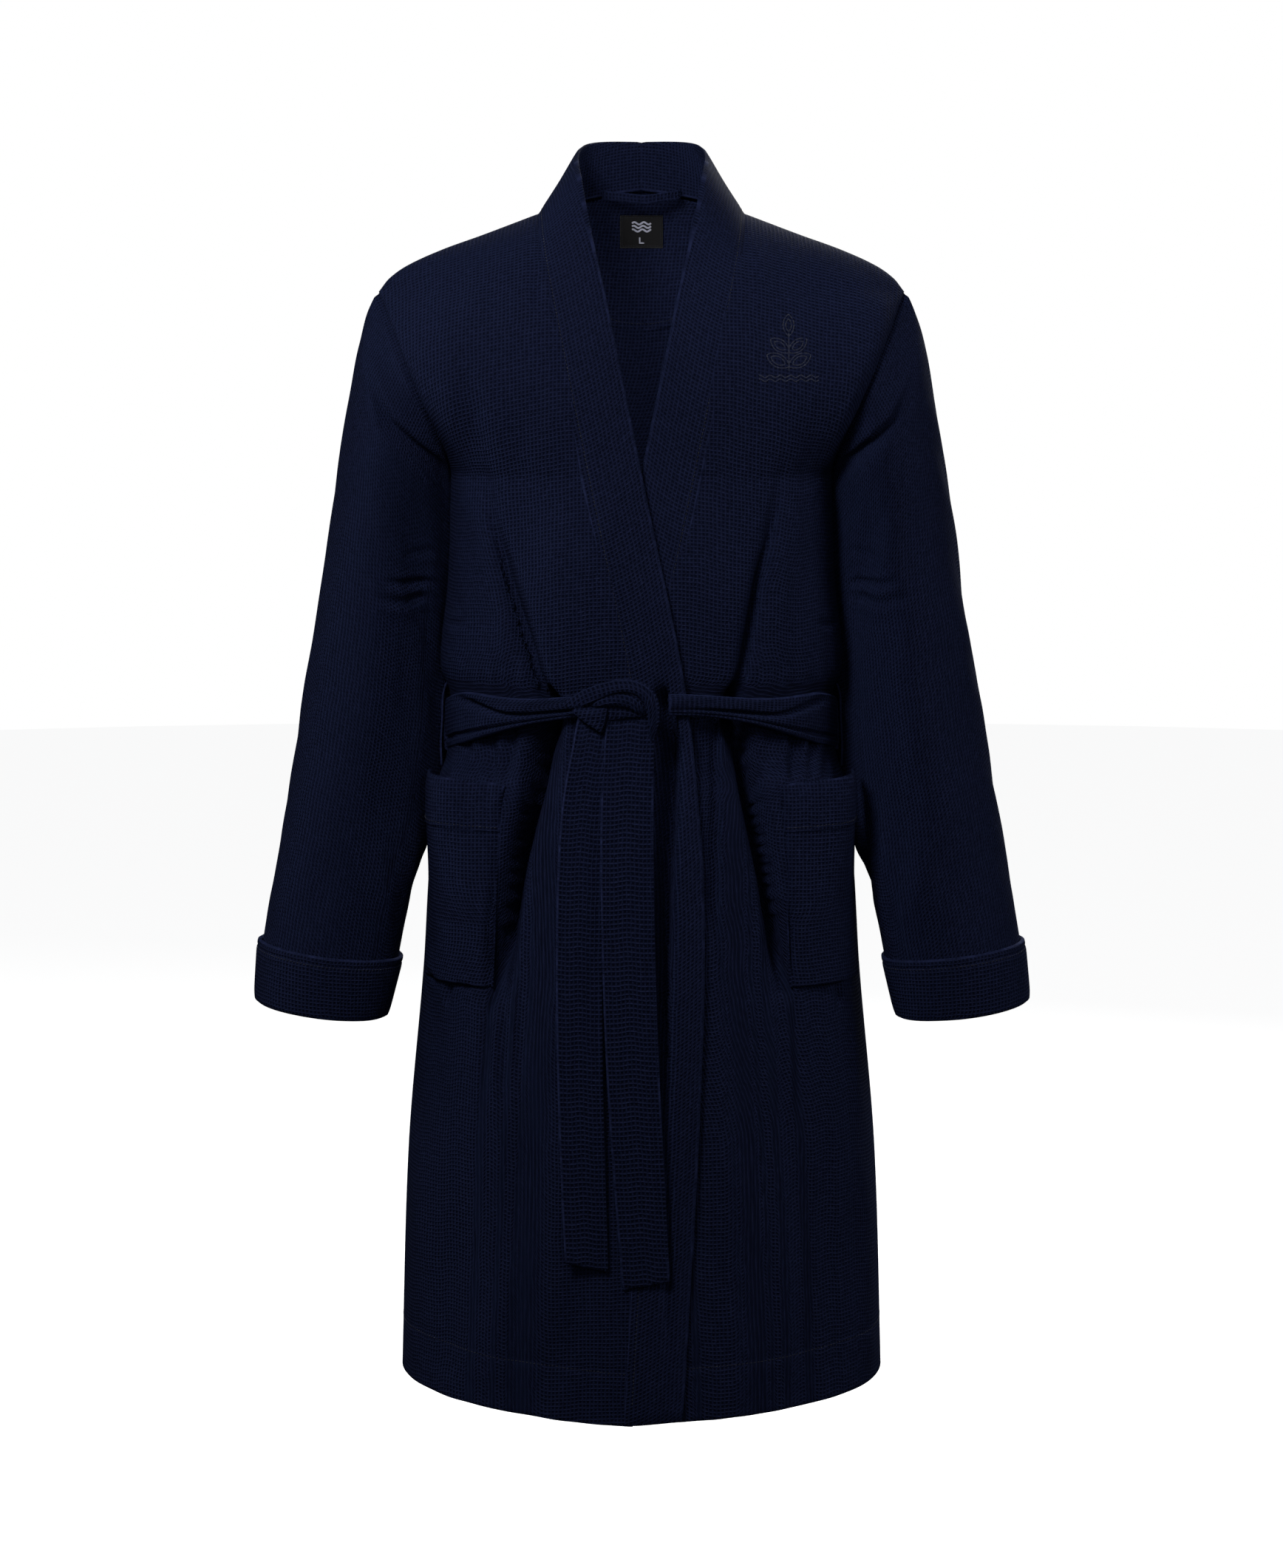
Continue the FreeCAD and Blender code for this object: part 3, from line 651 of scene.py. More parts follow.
@dataclass(frozen=True)
class Fold:
    """A fold that runs along a line on the robe.

    Args:
        path: Points of the line, across and up.
        depth: How far the cloth dips.
        width: Half width of the dip.
        lip: How far the cloth beside it rises.
        kind: A crease dips evenly; a pleat drops sharply on the line's left, going along it.
        fade: Shares of the length over which it starts and ends.
    """

    path: tuple[tuple[float, float], ...]
    depth: float
    width: float
    lip: float = 0.0
    kind: FoldKind = FoldKind.CREASE
    fade: tuple[float, float] = (0.35, 0.35)

    def measure(self, x: Points, z: Points) -> tuple[Points, Points]:
        """Distance to the left of the line, and the fold's strength, at each place."""
        line = np.array(self.path, float)
        steps = np.diff(line, axis=0)
        lengths = np.linalg.norm(steps, axis=1)
        starts = np.concatenate([[0.0], np.cumsum(lengths)[:-1]])
        best = np.full(x.shape, np.inf)
        side = np.zeros(x.shape)
        along = np.zeros(x.shape)
        for (px, pz), (dx, dz), length, start in zip(line[:-1], steps, lengths, starts):
            share = np.clip(((x - px) * dx + (z - pz) * dz) / length ** 2, 0.0, 1.0)
            away = np.hypot(x - px - share * dx, z - pz - share * dz)
            turn = np.sign(dx * (z - pz) - dz * (x - px))
            nearer = away < best
            best = np.where(nearer, away, best)
            side = np.where(nearer, away * turn, side)
            along = np.where(nearer, start + share * length, along)
        along /= lengths.sum()
        strength = np.ones(x.shape)
        if self.fade[0] > 0.0:
            strength = strength * smooth_step(along, 0.0, self.fade[0])
        if self.fade[1] > 0.0:
            strength = strength * (1.0 - smooth_step(along, 1.0 - self.fade[1], 1.0))
        return side, strength

    def relief(self, x: Points, z: Points) -> Points:
        """How far the fold moves the cloth outwards at each place."""
        side, strength = self.measure(x, z)
        if self.kind is FoldKind.PLEAT:
            step = 1.0 / (1.0 + np.exp(-np.clip(side / PLEAT_EDGE, -30, 30)))
            dip = step * np.exp(-(np.maximum(side, 0.0) / self.width) ** 2)
            rise = (1.0 - step) * np.exp(-(side / (1.6 * self.width)) ** 2)
            return strength * (self.lip * rise - self.depth * dip)
        dip = np.exp(-(side / self.width) ** 2)
        beside = (np.exp(-((side - 1.9 * self.width) / self.width) ** 2)
                  + np.exp(-((side + 1.9 * self.width) / self.width) ** 2))
        return strength * (self.lip * beside - self.depth * dip)

    def overhang(self, x: Points, z: Points) -> Points:
        """How far a pleat's edge reaches sideways over its own dip, towards positive x."""
        if self.kind is not FoldKind.PLEAT:
            return np.zeros(x.shape)
        side, strength = self.measure(x, z)
        way = -np.sign(self.path[-1][1] - self.path[0][1])
        lip = np.exp(-(side / (0.9 * self.width)) ** 2) * (side < 0.0)
        under = np.exp(-(side / 3.0) ** 2) * (side >= 0.0)
        reach = min(OVERHANG_SHARE * self.depth, OVERHANG_MOST)
        return way * strength * (reach * lip - 0.6 * reach * under)


# The folds of the wearer's right front, from the shoulder down to the skirt.
RIGHT_FOLDS = (
    Fold(((-150, -110), (-148, -180), (-142, -240), (-134, -290)), 2.8, 11.0, 1.2, fade=(0.6, 0.2)),
    Fold(((-137, -240), (-133, -284), (-119, -352), (-104, -398), (-92, -434), (-87, -466)), 17.0, 10.0, 2.2,
         FoldKind.PLEAT, fade=(0.6, 0.0)),
    Fold(((-117, -330), (-106, -376), (-96, -420)), 3.0, 10.0, 0.6, fade=(0.5, 0.2)),
    Fold(((-93, -60), (-90, -92), (-91, -120)), 1.6, 5.0, 0.8),
    Fold(((-60, -150), (-66, -240), (-72, -330)), 1.4, 20.0, 0.6, fade=(0.5, 0.5)),
    Fold(((-88, -455), (-97, -484), (-104, -516), (-111, -546), (-118, -574), (-123, -604), (-127, -636),
          (-129, -668), (-130, -722)), 62.0, 13.5, 2.6, FoldKind.PLEAT, fade=(0.0, 0.40)),
    Fold(((-116, -640), (-117, -720), (-119, -830)), 2.6, 4.5, 1.0, fade=(0.4, 0.6)),
    Fold(((-129, -690), (-132, -750), (-134, -830)), 2.2, 4.5, 0.9, fade=(0.3, 0.6)),
    Fold(((-105, -620), (-105, -720), (-104, -830)), 2.0, 5.0, 0.9, fade=(0.4, 0.6)),
    Fold(((-96, -560), (-94, -680), (-92, -800)), 1.6, 6.0, 0.8, fade=(0.4, 0.6)),
    Fold(((-134, -458), (-131, -500), (-130, -540)), 5.0, 4.5, 1.2, fade=(0.1, 0.5)),
    Fold(((-112, -461), (-116, -495), (-122, -530)), 4.0, 4.0, 1.0, fade=(0.1, 0.5)),
    Fold(((-154, -462), (-150, -500)), 4.5, 4.0, 1.0, fade=(0.1, 0.5)),
    Fold(((-74, -462), (-78, -520), (-84, -600)), 2.4, 7.0, 1.0, fade=(0.1, 0.7)),
    Fold(((-160, -688), (-150, -692), (-140, -690)), 2.0, 3.0, 0.8),
    Fold(((-189, -686), (-176, -694)), 2.6, 3.2, 0.9, fade=(0.1, 0.4)),
    Fold(((-166, -692), (-170, -716)), 2.8, 3.0, 1.0, fade=(0.2, 0.5)),
    Fold(((-60, -820), (-66, -930), (-70, -1040)), 1.8, 26.0, 0.8, fade=(0.5, 0.2)),
    Fold(((-158, -800), (-164, -910), (-170, -1040)), 2.2, 22.0, 1.2, fade=(0.5, 0.1)),
    Fold(((-176, -382), (-164, -384), (-152, -380)), 2.2, 3.4, 0.8),
)
# The groove beside the belt's long end runs through both fronts where they lap.
LAP_FOLDS = (
    Fold(((23.5, -860), (24, -760), (25, -690), (26.5, -626), (30, -560), (32.5, -520), (33, -480),
          (28, -458), (26, -448)), 34.0, 13.0, 1.2, FoldKind.PLEAT, fade=(0.45, 0.0)),
    Fold(((23, -700), (24, -790), (24, -900), (22, -1030)), 4.0, 3.6, 0.9, fade=(0.3, 0.3)),
)
# The folds of the wearer's left front.
LEFT_FOLDS = (
    Fold(((160, -84), (158, -150), (150, -226), (138, -286)), 3.2, 12.0, 1.2, fade=(0.4, 0.3)),
    Fold(((84, -466), (90, -434), (98, -392), (109, -330), (122, -262), (128, -220)), 17.0, 10.0, 2.2,
         FoldKind.PLEAT, fade=(0.0, 0.6)),
    Fold(((108, -310), (98, -372), (90, -420)), 3.0, 10.0, 0.6, fade=(0.5, 0.2)),
    Fold(((90, -50), (92, -84), (94, -112)), 1.6, 6.0, 0.6),
    Fold(((130, -712), (128, -668), (126, -634), (121, -602), (115, -574), (109, -546), (103, -516),
          (97, -484), (88, -455)), 62.0, 13.5, 2.6, FoldKind.PLEAT, fade=(0.40, 0.0)),
    Fold(((117, -650), (119, -740), (121, -850)), 2.6, 4.5, 1.0, fade=(0.4, 0.6)),
    Fold(((130, -690), (134, -750), (137, -830)), 2.2, 4.5, 0.9, fade=(0.3, 0.6)),
    Fold(((106, -630), (107, -740), (107, -850)), 2.0, 5.0, 0.9, fade=(0.4, 0.6)),
    Fold(((133, -458), (131, -500), (132, -545)), 5.0, 4.5, 1.2, fade=(0.1, 0.5)),
    Fold(((150, -462), (148, -505)), 4.5, 4.0, 1.0, fade=(0.1, 0.5)),
    Fold(((66, -700), (67, -620), (68, -540), (67, -460)), 9.0, 12.0, 1.6, FoldKind.PLEAT, fade=(0.5, 0.0)),
    Fold(((168, -692), (172, -716)), 2.8, 3.0, 1.0, fade=(0.2, 0.5)),
    Fold(((62, -820), (68, -930), (74, -1040)), 1.8, 24.0, 0.8, fade=(0.5, 0.2)),
    Fold(((160, -790), (164, -900), (168, -1040)), 2.2, 20.0, 1.2, fade=(0.5, 0.1)),
    Fold(((176, -380), (164, -384), (150, -380)), 2.2, 3.4, 0.8),
)
# The folds of the back, which the belt draws in too.
BACK_FOLDS = (
    Fold(((-112, -200), (-104, -330), (-92, -470)), 5.0, 16.0, 2.0, fade=(0.6, 0.0)),
    Fold(((110, -190), (100, -340), (96, -470)), 5.5, 15.0, 2.0, fade=(0.6, 0.0)),
    Fold(((-30, -300), (-26, -400), (-24, -470)), 4.5, 11.0, 1.6, fade=(0.7, 0.0)),
    Fold(((46, -330), (40, -420), (38, -470)), 4.0, 9.0, 1.6, fade=(0.7, 0.0)),
    Fold(((-92, -474), (-104, -600), (-112, -760), (-116, -950)), 9.0, 14.0, 3.0, fade=(0.0, 0.7)),
    Fold(((96, -474), (106, -620), (116, -780), (118, -960)), 9.0, 13.0, 3.0, fade=(0.0, 0.7)),
    Fold(((-24, -474), (-30, -600), (-36, -780), (-38, -1000)), 7.0, 13.0, 2.4, fade=(0.0, 0.7)),
    Fold(((38, -474), (44, -590), (52, -740), (54, -900)), 6.0, 11.0, 2.0, fade=(0.0, 0.7)),
    Fold(((-140, -472), (-146, -540), (-150, -610)), 4.0, 7.0, 1.2, fade=(0.0, 0.6)),
    Fold(((138, -472), (142, -540), (148, -620)), 4.0, 7.0, 1.2, fade=(0.0, 0.6)),
)


@dataclass(frozen=True)
class Drape:
    """All the unevenness of one body panel: its folds, ripples and the gathers at the belt.

    Args:
        folds: The folds drawn on it.
        seed: Chooses the ripples.
        belt_height: Height of the belt's middle.
        gather_pitch: Distance from gather to gather.
        gather_depth: Depth of a gather at the belt.
    """

    folds: tuple[Fold, ...]
    seed: int
    belt_height: float = -466.0
    gather_pitch: float = 15.0
    gather_depth: float = 2.6

    def relief(self, x: Points, z: Points) -> Points:
        """How far the panel stands off its plain form at each place."""
        total = ripples(x, z, self.seed, 95.0, 1.5) + ripples(x, z, self.seed + 1, 34.0, 0.45)
        wander = 4.0 * np.sin(x / 23.0 + self.seed) + 3.0 * np.sin(z / 31.0)
        waves = 0.5 - 0.5 * np.cos(2.0 * math.pi * (x + wander) / self.gather_pitch)
        reach = np.where(z > self.belt_height, 38.0, 70.0)
        near = np.exp(-(np.abs(z - self.belt_height) / reach) ** 1.3)
        outer = smooth_step(np.abs(x), 46.0, 92.0)
        total -= self.gather_depth * waves * near * (0.25 + 0.75 * outer)
        for fold in self.folds:
            total += fold.relief(x, z)
        return total

    def overhang(self, x: Points, z: Points) -> Points:
        """How far its pleats' edges reach sideways at each place."""
        return sum(fold.overhang(x, z) for fold in self.folds)


# ---------------------------------------------------------------- the robe's form
@dataclass(frozen=True)
class RobeForm:
    """The outer form that the hanging robe keeps, before its folds."""

    neck_half: float = 92.0
    neck_drop: float = 28.0
    neck_deep: float = 62.0
    shoulder_half: float = 230.0
    shoulder_height: float = -96.0
    underarm_half: float = 167.0
    underarm_height: float = -254.0
    side_place: float = -78.0
    armhole_deep: float = 68.0
    chest_reach: float = 165.0
    back_reach: float = 215.0
    roundness: float = 2.3
    cloth: float = 2.4
    band: float = 4.0
    band_width: float = 48.0
    overlap_lift: float = 7.6
    heights: Series = (-254.0, -345.0, -422.0, -446.0, -475.0, -504.0, -530.0, -606.0, -690.0, -850.0,
                       -1062.0)
    half_widths: Series = (167.0, 170.0, 177.0, 169.0, 168.0, 172.5, 181.0, 188.0, 193.0, 207.0, 214.0)
    front_depths: Series = (-192.0, -200.0, -195.0, -188.0, -187.5, -191.0, -202.0, -210.0, -214.0,
                            -218.0, -223.0)
    back_depths: Series = (34.0, 28.0, 18.0, 12.0, 10.0, 13.0, 24.0, 44.0, 52.0, 56.0, 60.0)
    ridge_reaches: Series = (-92.0, -139.0, -174.5, -205.0, -221.0, -230.0)
    ridge_heights: Series = (-28.0, -46.0, -59.0, -73.0, -84.5, -96.0)
    seam_heights: Series = (-28.0, -75.0, -132.0, -300.0, -440.0, -540.0, -640.0, -830.0, -950.0,
                            -1062.0)
    seam_places: Series = (92.0, 86.0, 75.0, 41.0, 12.0, 1.0, -4.0, 2.0, 9.0, 15.0)

    def seam(self, z: Number) -> Number:
        """Distance of the neckband's seam from the middle, to the panel's own side."""
        return Profile(self.seam_heights, self.seam_places)(z)

    def front_depth(self, z: Number) -> Number:
        """Place of the centre front."""
        return Profile(self.heights, self.front_depths)(z)

    def armhole_share(self, z: Number) -> Number:
        """0 at the underarm and below, 1 at the armhole's top."""
        return np.clip((z - self.underarm_height) / (self.shoulder_height - self.underarm_height), 0.0, 1.0)

    def half_width(self, z: Number) -> Number:
        """Half width of the body, to the side seam or the armhole."""
        share = self.armhole_share(z)
        eased = np.where(share < 0.16, share ** 2 / 0.32, share - 0.08) / 0.92
        upper = mix(self.underarm_half, self.shoulder_half, eased)
        lower = Profile(self.heights, self.half_widths)(z)
        return np.where(np.asarray(z) <= self.underarm_height, lower, upper)

    def ridge_height(self, x: Number) -> Number:
        """Height of the back neck seam and the shoulder seams."""
        x = np.abs(x)
        neck = -self.neck_drop * (x / self.neck_half) ** 2
        return np.where(x < self.neck_half, neck, Profile(self.ridge_reaches, self.ridge_heights)(-x))

    def ridge_place(self, x: Number) -> Number:
        """Place of the same seams, front to back."""
        x = np.abs(x)
        t = np.clip((x - self.neck_half) / (self.shoulder_half - self.neck_half), 0.0, 1.0)
        neck = -self.neck_deep * (1.0 - np.sqrt(np.maximum(1.0 - (x / self.neck_half) ** 2, 0.0)))
        return np.where(x < self.neck_half, neck, mix(-self.neck_deep, self.side_place, t))

    def armhole_bulge(self, z: Number) -> Number:
        """How far the armhole's edge lies before or behind the side seam."""
        return self.armhole_deep * np.maximum(np.sin(math.pi * self.armhole_share(z)), 0.0) ** 0.75

    def section(self, x: Number, z: Number, middle: Number, bulge: Number) -> Number:
        """Front or back of one level section."""
        edge = self.side_place + bulge
        share = np.minimum(np.abs(x) / self.half_width(z), 1.0)
        return edge + (middle - edge) * (1.0 - share ** self.roundness) ** (1.0 / self.roundness)

    def shoulder_share(self, x: Number, z: Number, reach: float, neck: Number) -> Number:
        """0 on the shoulder seam, 1 where the body has its full depth."""
        top = np.where(np.abs(x) < self.neck_half, neck, self.ridge_height(x))
        down = np.clip((top - z) / reach, 0.0, 1.0)
        return np.sqrt(1.0 - (1.0 - down) ** 2)

    def front(self, x: Number, z: Number) -> Number:
        """Place of the front at a point across and up."""
        full = self.section(x, z, self.front_depth(z), -self.armhole_bulge(z))
        ridge = np.where(np.abs(x) < self.neck_half, -self.neck_deep, self.ridge_place(x))
        return mix(ridge, full, self.shoulder_share(x, z, self.chest_reach, -self.neck_drop))

    def back(self, x: Number, z: Number) -> Number:
        """Place of the back at a point across and up."""
        full = self.section(x, z, Profile(self.heights, self.back_depths)(z), self.armhole_bulge(z))
        share = self.shoulder_share(x, z, self.back_reach, self.ridge_height(x))
        return mix(self.ridge_place(x), full, share)

    def lift(self, x: Number, z: Number) -> Number:
        """How far the right front stands off, to pass over the left front."""
        return self.overlap_lift * smooth_step(x, -108.0, -62.0) * smooth_step(-z, 150.0, 250.0)


# ---------------------------------------------------------------- body panels
@dataclass
class BodyPanels:
    """The back and the two fronts."""

    form: RobeForm
    cloth: Material
    step: float = 3.2
    upper_rows: int = 56
    front_columns: int = 146
    back_columns: int = 150
    hem_depth: float = 46.0
    hem_bend: float = 1.35
    tuck: float = 7.0

    def __post_init__(self) -> None:
        """Reads the hem's heights from the frame."""
        self.hem_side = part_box("back_panel")[0].z / MM
        self.hem_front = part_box("right_front_panel")[0].z / MM
        self.right = Drape(RIGHT_FOLDS + LAP_FOLDS, 11)
        self.left = Drape(LEFT_FOLDS + LAP_FOLDS, 23)
        self.behind = Drape(BACK_FOLDS, 37)
        self.faces: dict[str, Points] = {}

    def rows(self, inner_top: float, inner_underarm: float,
             inner_hem: float) -> tuple[Points, Points, Points]:
        """Heights of the rows at the side edge and at the inner edge, and how level each row has become."""
        form = self.form
        t = np.linspace(0.0, 1.0, self.upper_rows) ** 1.5
        side = mix(form.shoulder_height, form.underarm_height, t)
        inner = mix(inner_top, inner_underarm, t)
        count = int((form.underarm_height - self.hem_side) / self.step)
        lower = np.linspace(form.underarm_height, self.hem_side, count)
        share = (lower - form.underarm_height) / (self.hem_side - form.underarm_height)
        shift = mix(inner_underarm - form.underarm_height, inner_hem - self.hem_side, share)
        side = np.concatenate([side, lower[1:]])
        inner = np.concatenate([inner, (lower + shift)[1:]])
        return side, inner, np.concatenate([t, np.ones(len(lower) - 1)])

    def hem_line(self, depth: Points) -> Points:
        """The hem's double cloth and the dent of its seam, by distance above the edge."""
        return 0.7 * smooth_step(-depth, -self.hem_depth, 2.0 - self.hem_depth) - 1.1 * np.exp(
            -((depth - self.hem_depth - 1.0) / 2.2) ** 2)

    def front_points(self, drape: Drape, lifted: bool, mirror: float) -> Points:
        """A front panel's outer face, drawn on the wearer's right."""
        form = self.form
        side, inner, level = (row[:, None] for row in self.rows(-form.neck_drop, -246.0, self.hem_front))
        turn = np.sin(np.linspace(0.0, 1.0, self.front_columns) * math.pi / 2)[None, :]
        x = mix(self.tuck - form.seam(inner), -form.half_width(side), turn)
        lower = smooth_step(-side, 700.0, -self.hem_side)
        z = mix(inner, side, turn ** (mix(1.8, 1.0, level) + (self.hem_bend - 1.0) * lower))
        top = np.maximum(-mix(self.tuck - form.neck_half, -form.shoulder_half, turn), form.neck_half)
        ridge = form.ridge_height(top) - mix(-form.neck_drop, form.shoulder_height, turn ** 1.8)
        z = z + ridge * (1.0 - level)
        y = form.front(x, z) - (form.lift(x, z) if lifted else 0.0)
        points = np.stack([x, y, z], -1)
        hem = mix(self.hem_front, self.hem_side, turn ** self.hem_bend)
        return self.draped(points, drape, mirror, -1.0, hem)

    def draped(self, points: Points, drape: Drape, mirror: float, outwards: float, hem: Points) -> Points:
        """Moves a panel's points out by its drape, not at the shoulder seam and the armhole."""
        x, z = points[..., 0], points[..., 2]
        normals = grid_normals(points)
        normals *= np.sign(np.sum(normals * [0.0, outwards, 0.0], axis=(0, 1, 2)))
        relief = drape.relief(x * mirror, z) + self.hem_line(z - hem)
        edge = 1.0 - np.abs(x) / self.form.half_width(z)
        calm = smooth_step(edge, 0.0, 0.08) * smooth_step(self.form.ridge_height(x) - z, 4.0, 40.0)
        moved = points + normals * (relief * calm)[..., None]
        moved[..., 0] += drape.overhang(x * mirror, z) * mirror * calm
        return moved

    def back_points(self) -> Points:
        """The back's outer face."""
        form = self.form
        side, _, level = (row[:, None] for row in self.rows(0.0, form.underarm_height, self.hem_side))
        turn = np.sin(np.linspace(-1.0, 1.0, self.back_columns) * math.pi / 2)[None, :]
        x = turn * form.half_width(side)
        z = side + (form.ridge_height(turn * form.shoulder_half) - form.shoulder_height) * (1.0 - level)
        points = np.stack([x, form.back(x, z), z], -1)
        return self.draped(points, self.behind, 1.0, 1.0, np.full_like(turn, self.hem_side))

    def closed(self, name: str, outer: Points, outwards: float) -> Object:
        """The panel with its thickness, hem and finish."""
        normals = grid_normals(outer)
        normals *= np.sign(np.sum(normals * [0.0, outwards, 0.0], axis=(0, 1, 2)))
        inner = outer - normals * self.form.cloth
        return cloth_object(name, outer, inner, level_map(outer), self.cloth)

    def hem_stitches(self) -> list[Points]:
        """The stitch lines of the hem, on the fronts and on the back."""
        turn = np.sin(np.linspace(0.0, 1.0, self.front_columns) * math.pi / 2)[None, :]
        hem = mix(self.hem_front, self.hem_side, turn ** self.hem_bend)
        lines = [level_line(self.faces[word], self.faces[word][..., 2] - hem, self.hem_depth - 1.0,
                            np.array([0.0, -0.4, 0.0]))[4:-1] for word in ("right", "left")]
        back = self.faces["back"]
        stand = np.array([0.0, 0.4, 0.0])
        lines.append(level_line(back, back[..., 2] - self.hem_side, self.hem_depth - 1.0, stand))
        return lines

    def build(self) -> None:
        """Makes and rides the three panels."""
        self.faces = {"back": self.back_points(), "right": self.front_points(self.right, True, 1.0),
                      "left": Side.LEFT.place(self.front_points(self.left, False, -1.0))}
        back = self.closed("back_panel_cloth", self.faces["back"], 1.0)
        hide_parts("back_panel")
        right = self.closed("right_front_cloth", self.faces["right"], -1.0)
        left = self.closed("left_front_cloth", self.faces["left"], -1.0)
        for piece, side in ((right, Side.RIGHT), (left, Side.LEFT)):
            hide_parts(side.word + "_front_panel")
        for piece in (back, right, left):
            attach(piece, "robe_body")


# ---------------------------------------------------------------- neckband
@dataclass
class Neckband:
    """The folded band that stands round the neck and runs down both front edges."""

    form: RobeForm
    cloth: Material
    panels: BodyPanels
    rows: int = 430
    columns: int = 18
    neck_seam: tuple[Triple, ...] = (
        (0.0, -0.8, -3.4), (34.0, -4.4, -7.0), (64.0, -16.8, -15.0), (84.0, -36.8, -23.0),
        (92.5, -62.0, -28.5))
    neck_free: tuple[Triple, ...] = (
        (0.0, 18.0, 38.0), (26.0, 14.0, 38.5), (46.0, 0.0, 37.0), (57.0, -24.0, 32.0), (59.5, -54.0, 20.0))
    standing: Triple = (33.0, 6.0, 46.0)
    heights: Series = (
        -33.0, -44.0, -60.0, -82.0, -112.0, -150.0, -195.0, -245.0, -300.0, -355.0, -410.0, -465.0, -520.0,
        -580.0, -640.0, -700.0, -760.0, -820.0, -880.0, -940.0, -1000.0, -1058.5)

    def lying(self, x: float, z: float, lifted: bool) -> Points:
        """A point of the band's outer face where it lies on the front."""
        lift = self.form.overlap_lift * smooth_step(-z, 150.0, 250.0) if lifted else 0.0
        return np.array([x, float(self.form.front(x, z)) - lift - 0.8, z])

    def poles(self, lifted: bool) -> tuple[Points, Points]:
        """Poles of the outer and inner faces, from the centre back to the hem, on the wearer's right."""
        outer, inner = [], []
        inwards = np.array([0.0, -1.0, 0.0])
        for seam, free in zip(self.neck_seam, self.neck_free):
            start = np.array([-seam[0], seam[1], seam[2]])
            end = np.array([-free[0], free[1], free[2]])
            middle = (start + end) / 2
            inwards = unit(np.array([-middle[0], -70.0 - middle[1], 12.0]))
            row = np.array([start, middle + inwards * 2.0, end])
            outer.append(row)
            inner.append(row + inwards * self.form.band)
        for z in self.heights:
            x = 0.5 - float(self.form.seam(z))
            slope = float(self.form.seam(z + 4.0) - self.form.seam(z - 4.0)) / 8.0
            rise = 0.13 * float(smooth_step(-z, 985.0, 1059.0))
            across = unit(np.array([1.0, 0.0, slope + rise])) * self.form.band_width
            start = self.lying(x, z, lifted)
            lying = self.lying(x + across[0], z + across[2], lifted)
            turned = float(smooth_step(-z, 20.0, 120.0))
            end = mix(start + np.array(self.standing), lying, turned)
            centre = self.lying(x + across[0] / 2, z + across[2] / 2, lifted)
            bow = (centre - (start + lying) / 2) * turned
            inwards = unit(mix(inwards, np.array([0.0, 1.0, 0.0]), turned))
            row = np.array([start, (start + end) / 2 + bow, end])
            outer.append(row)
            inner.append(row + inwards * self.form.band)
        return np.array(outer), np.array(inner)

    def relief(self, outer: Points, drape: Drape, mirror: float) -> Points:
        """How far the band moves out with the front it is sewn to, with its own soft crown."""
        x, z = outer[..., 0], outer[..., 2]
        across = np.linspace(0.0, 1.0, self.columns)[None, :]
        crown = 1.6 * np.sin(math.pi * across) ** 0.6 + 0.5 * smooth_step(across, 0.5, 0.9)
        stitch = -0.9 * np.exp(-((across - 0.10) / 0.045) ** 2)
        lies = smooth_step(-z, 70.0, 170.0)
        hem = self.panels.hem_line(z - self.panels.hem_front)
        return drape.relief(x * mirror, z) * lies + crown + stitch + hem

    def build(self) -> list[Points]:
        """Makes both halves of the band and returns the lines of its stitches."""
        lines = []
        for side, drape in ((Side.RIGHT, self.panels.right), (Side.LEFT, self.panels.left)):
            mirror = float(-side.value)
            outer_poles, inner_poles = self.poles(side is Side.RIGHT)
            outer = spline_grid(outer_poles, self.rows, self.columns)
            inner = spline_grid(inner_poles, self.rows, self.columns)
            outwards = unit(outer - inner)
            moved = outwards * self.relief(outer, drape, mirror)[..., None]
            stand = outwards[6:-2, 2] * [0.3 * mirror, 0.3, 0.3]
            lines.append(side.place(outer + moved)[6:-2, 2] + stand)
            name = side.word + "_neckband_cloth"
            piece = cloth_object(name, side.place(outer + moved), side.place(inner + moved * 0.8),
                                 thread_map(outer), self.cloth, rounding=1.8)
            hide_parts(side.word + "_neckband")
            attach(piece, "robe_body")
        return lines


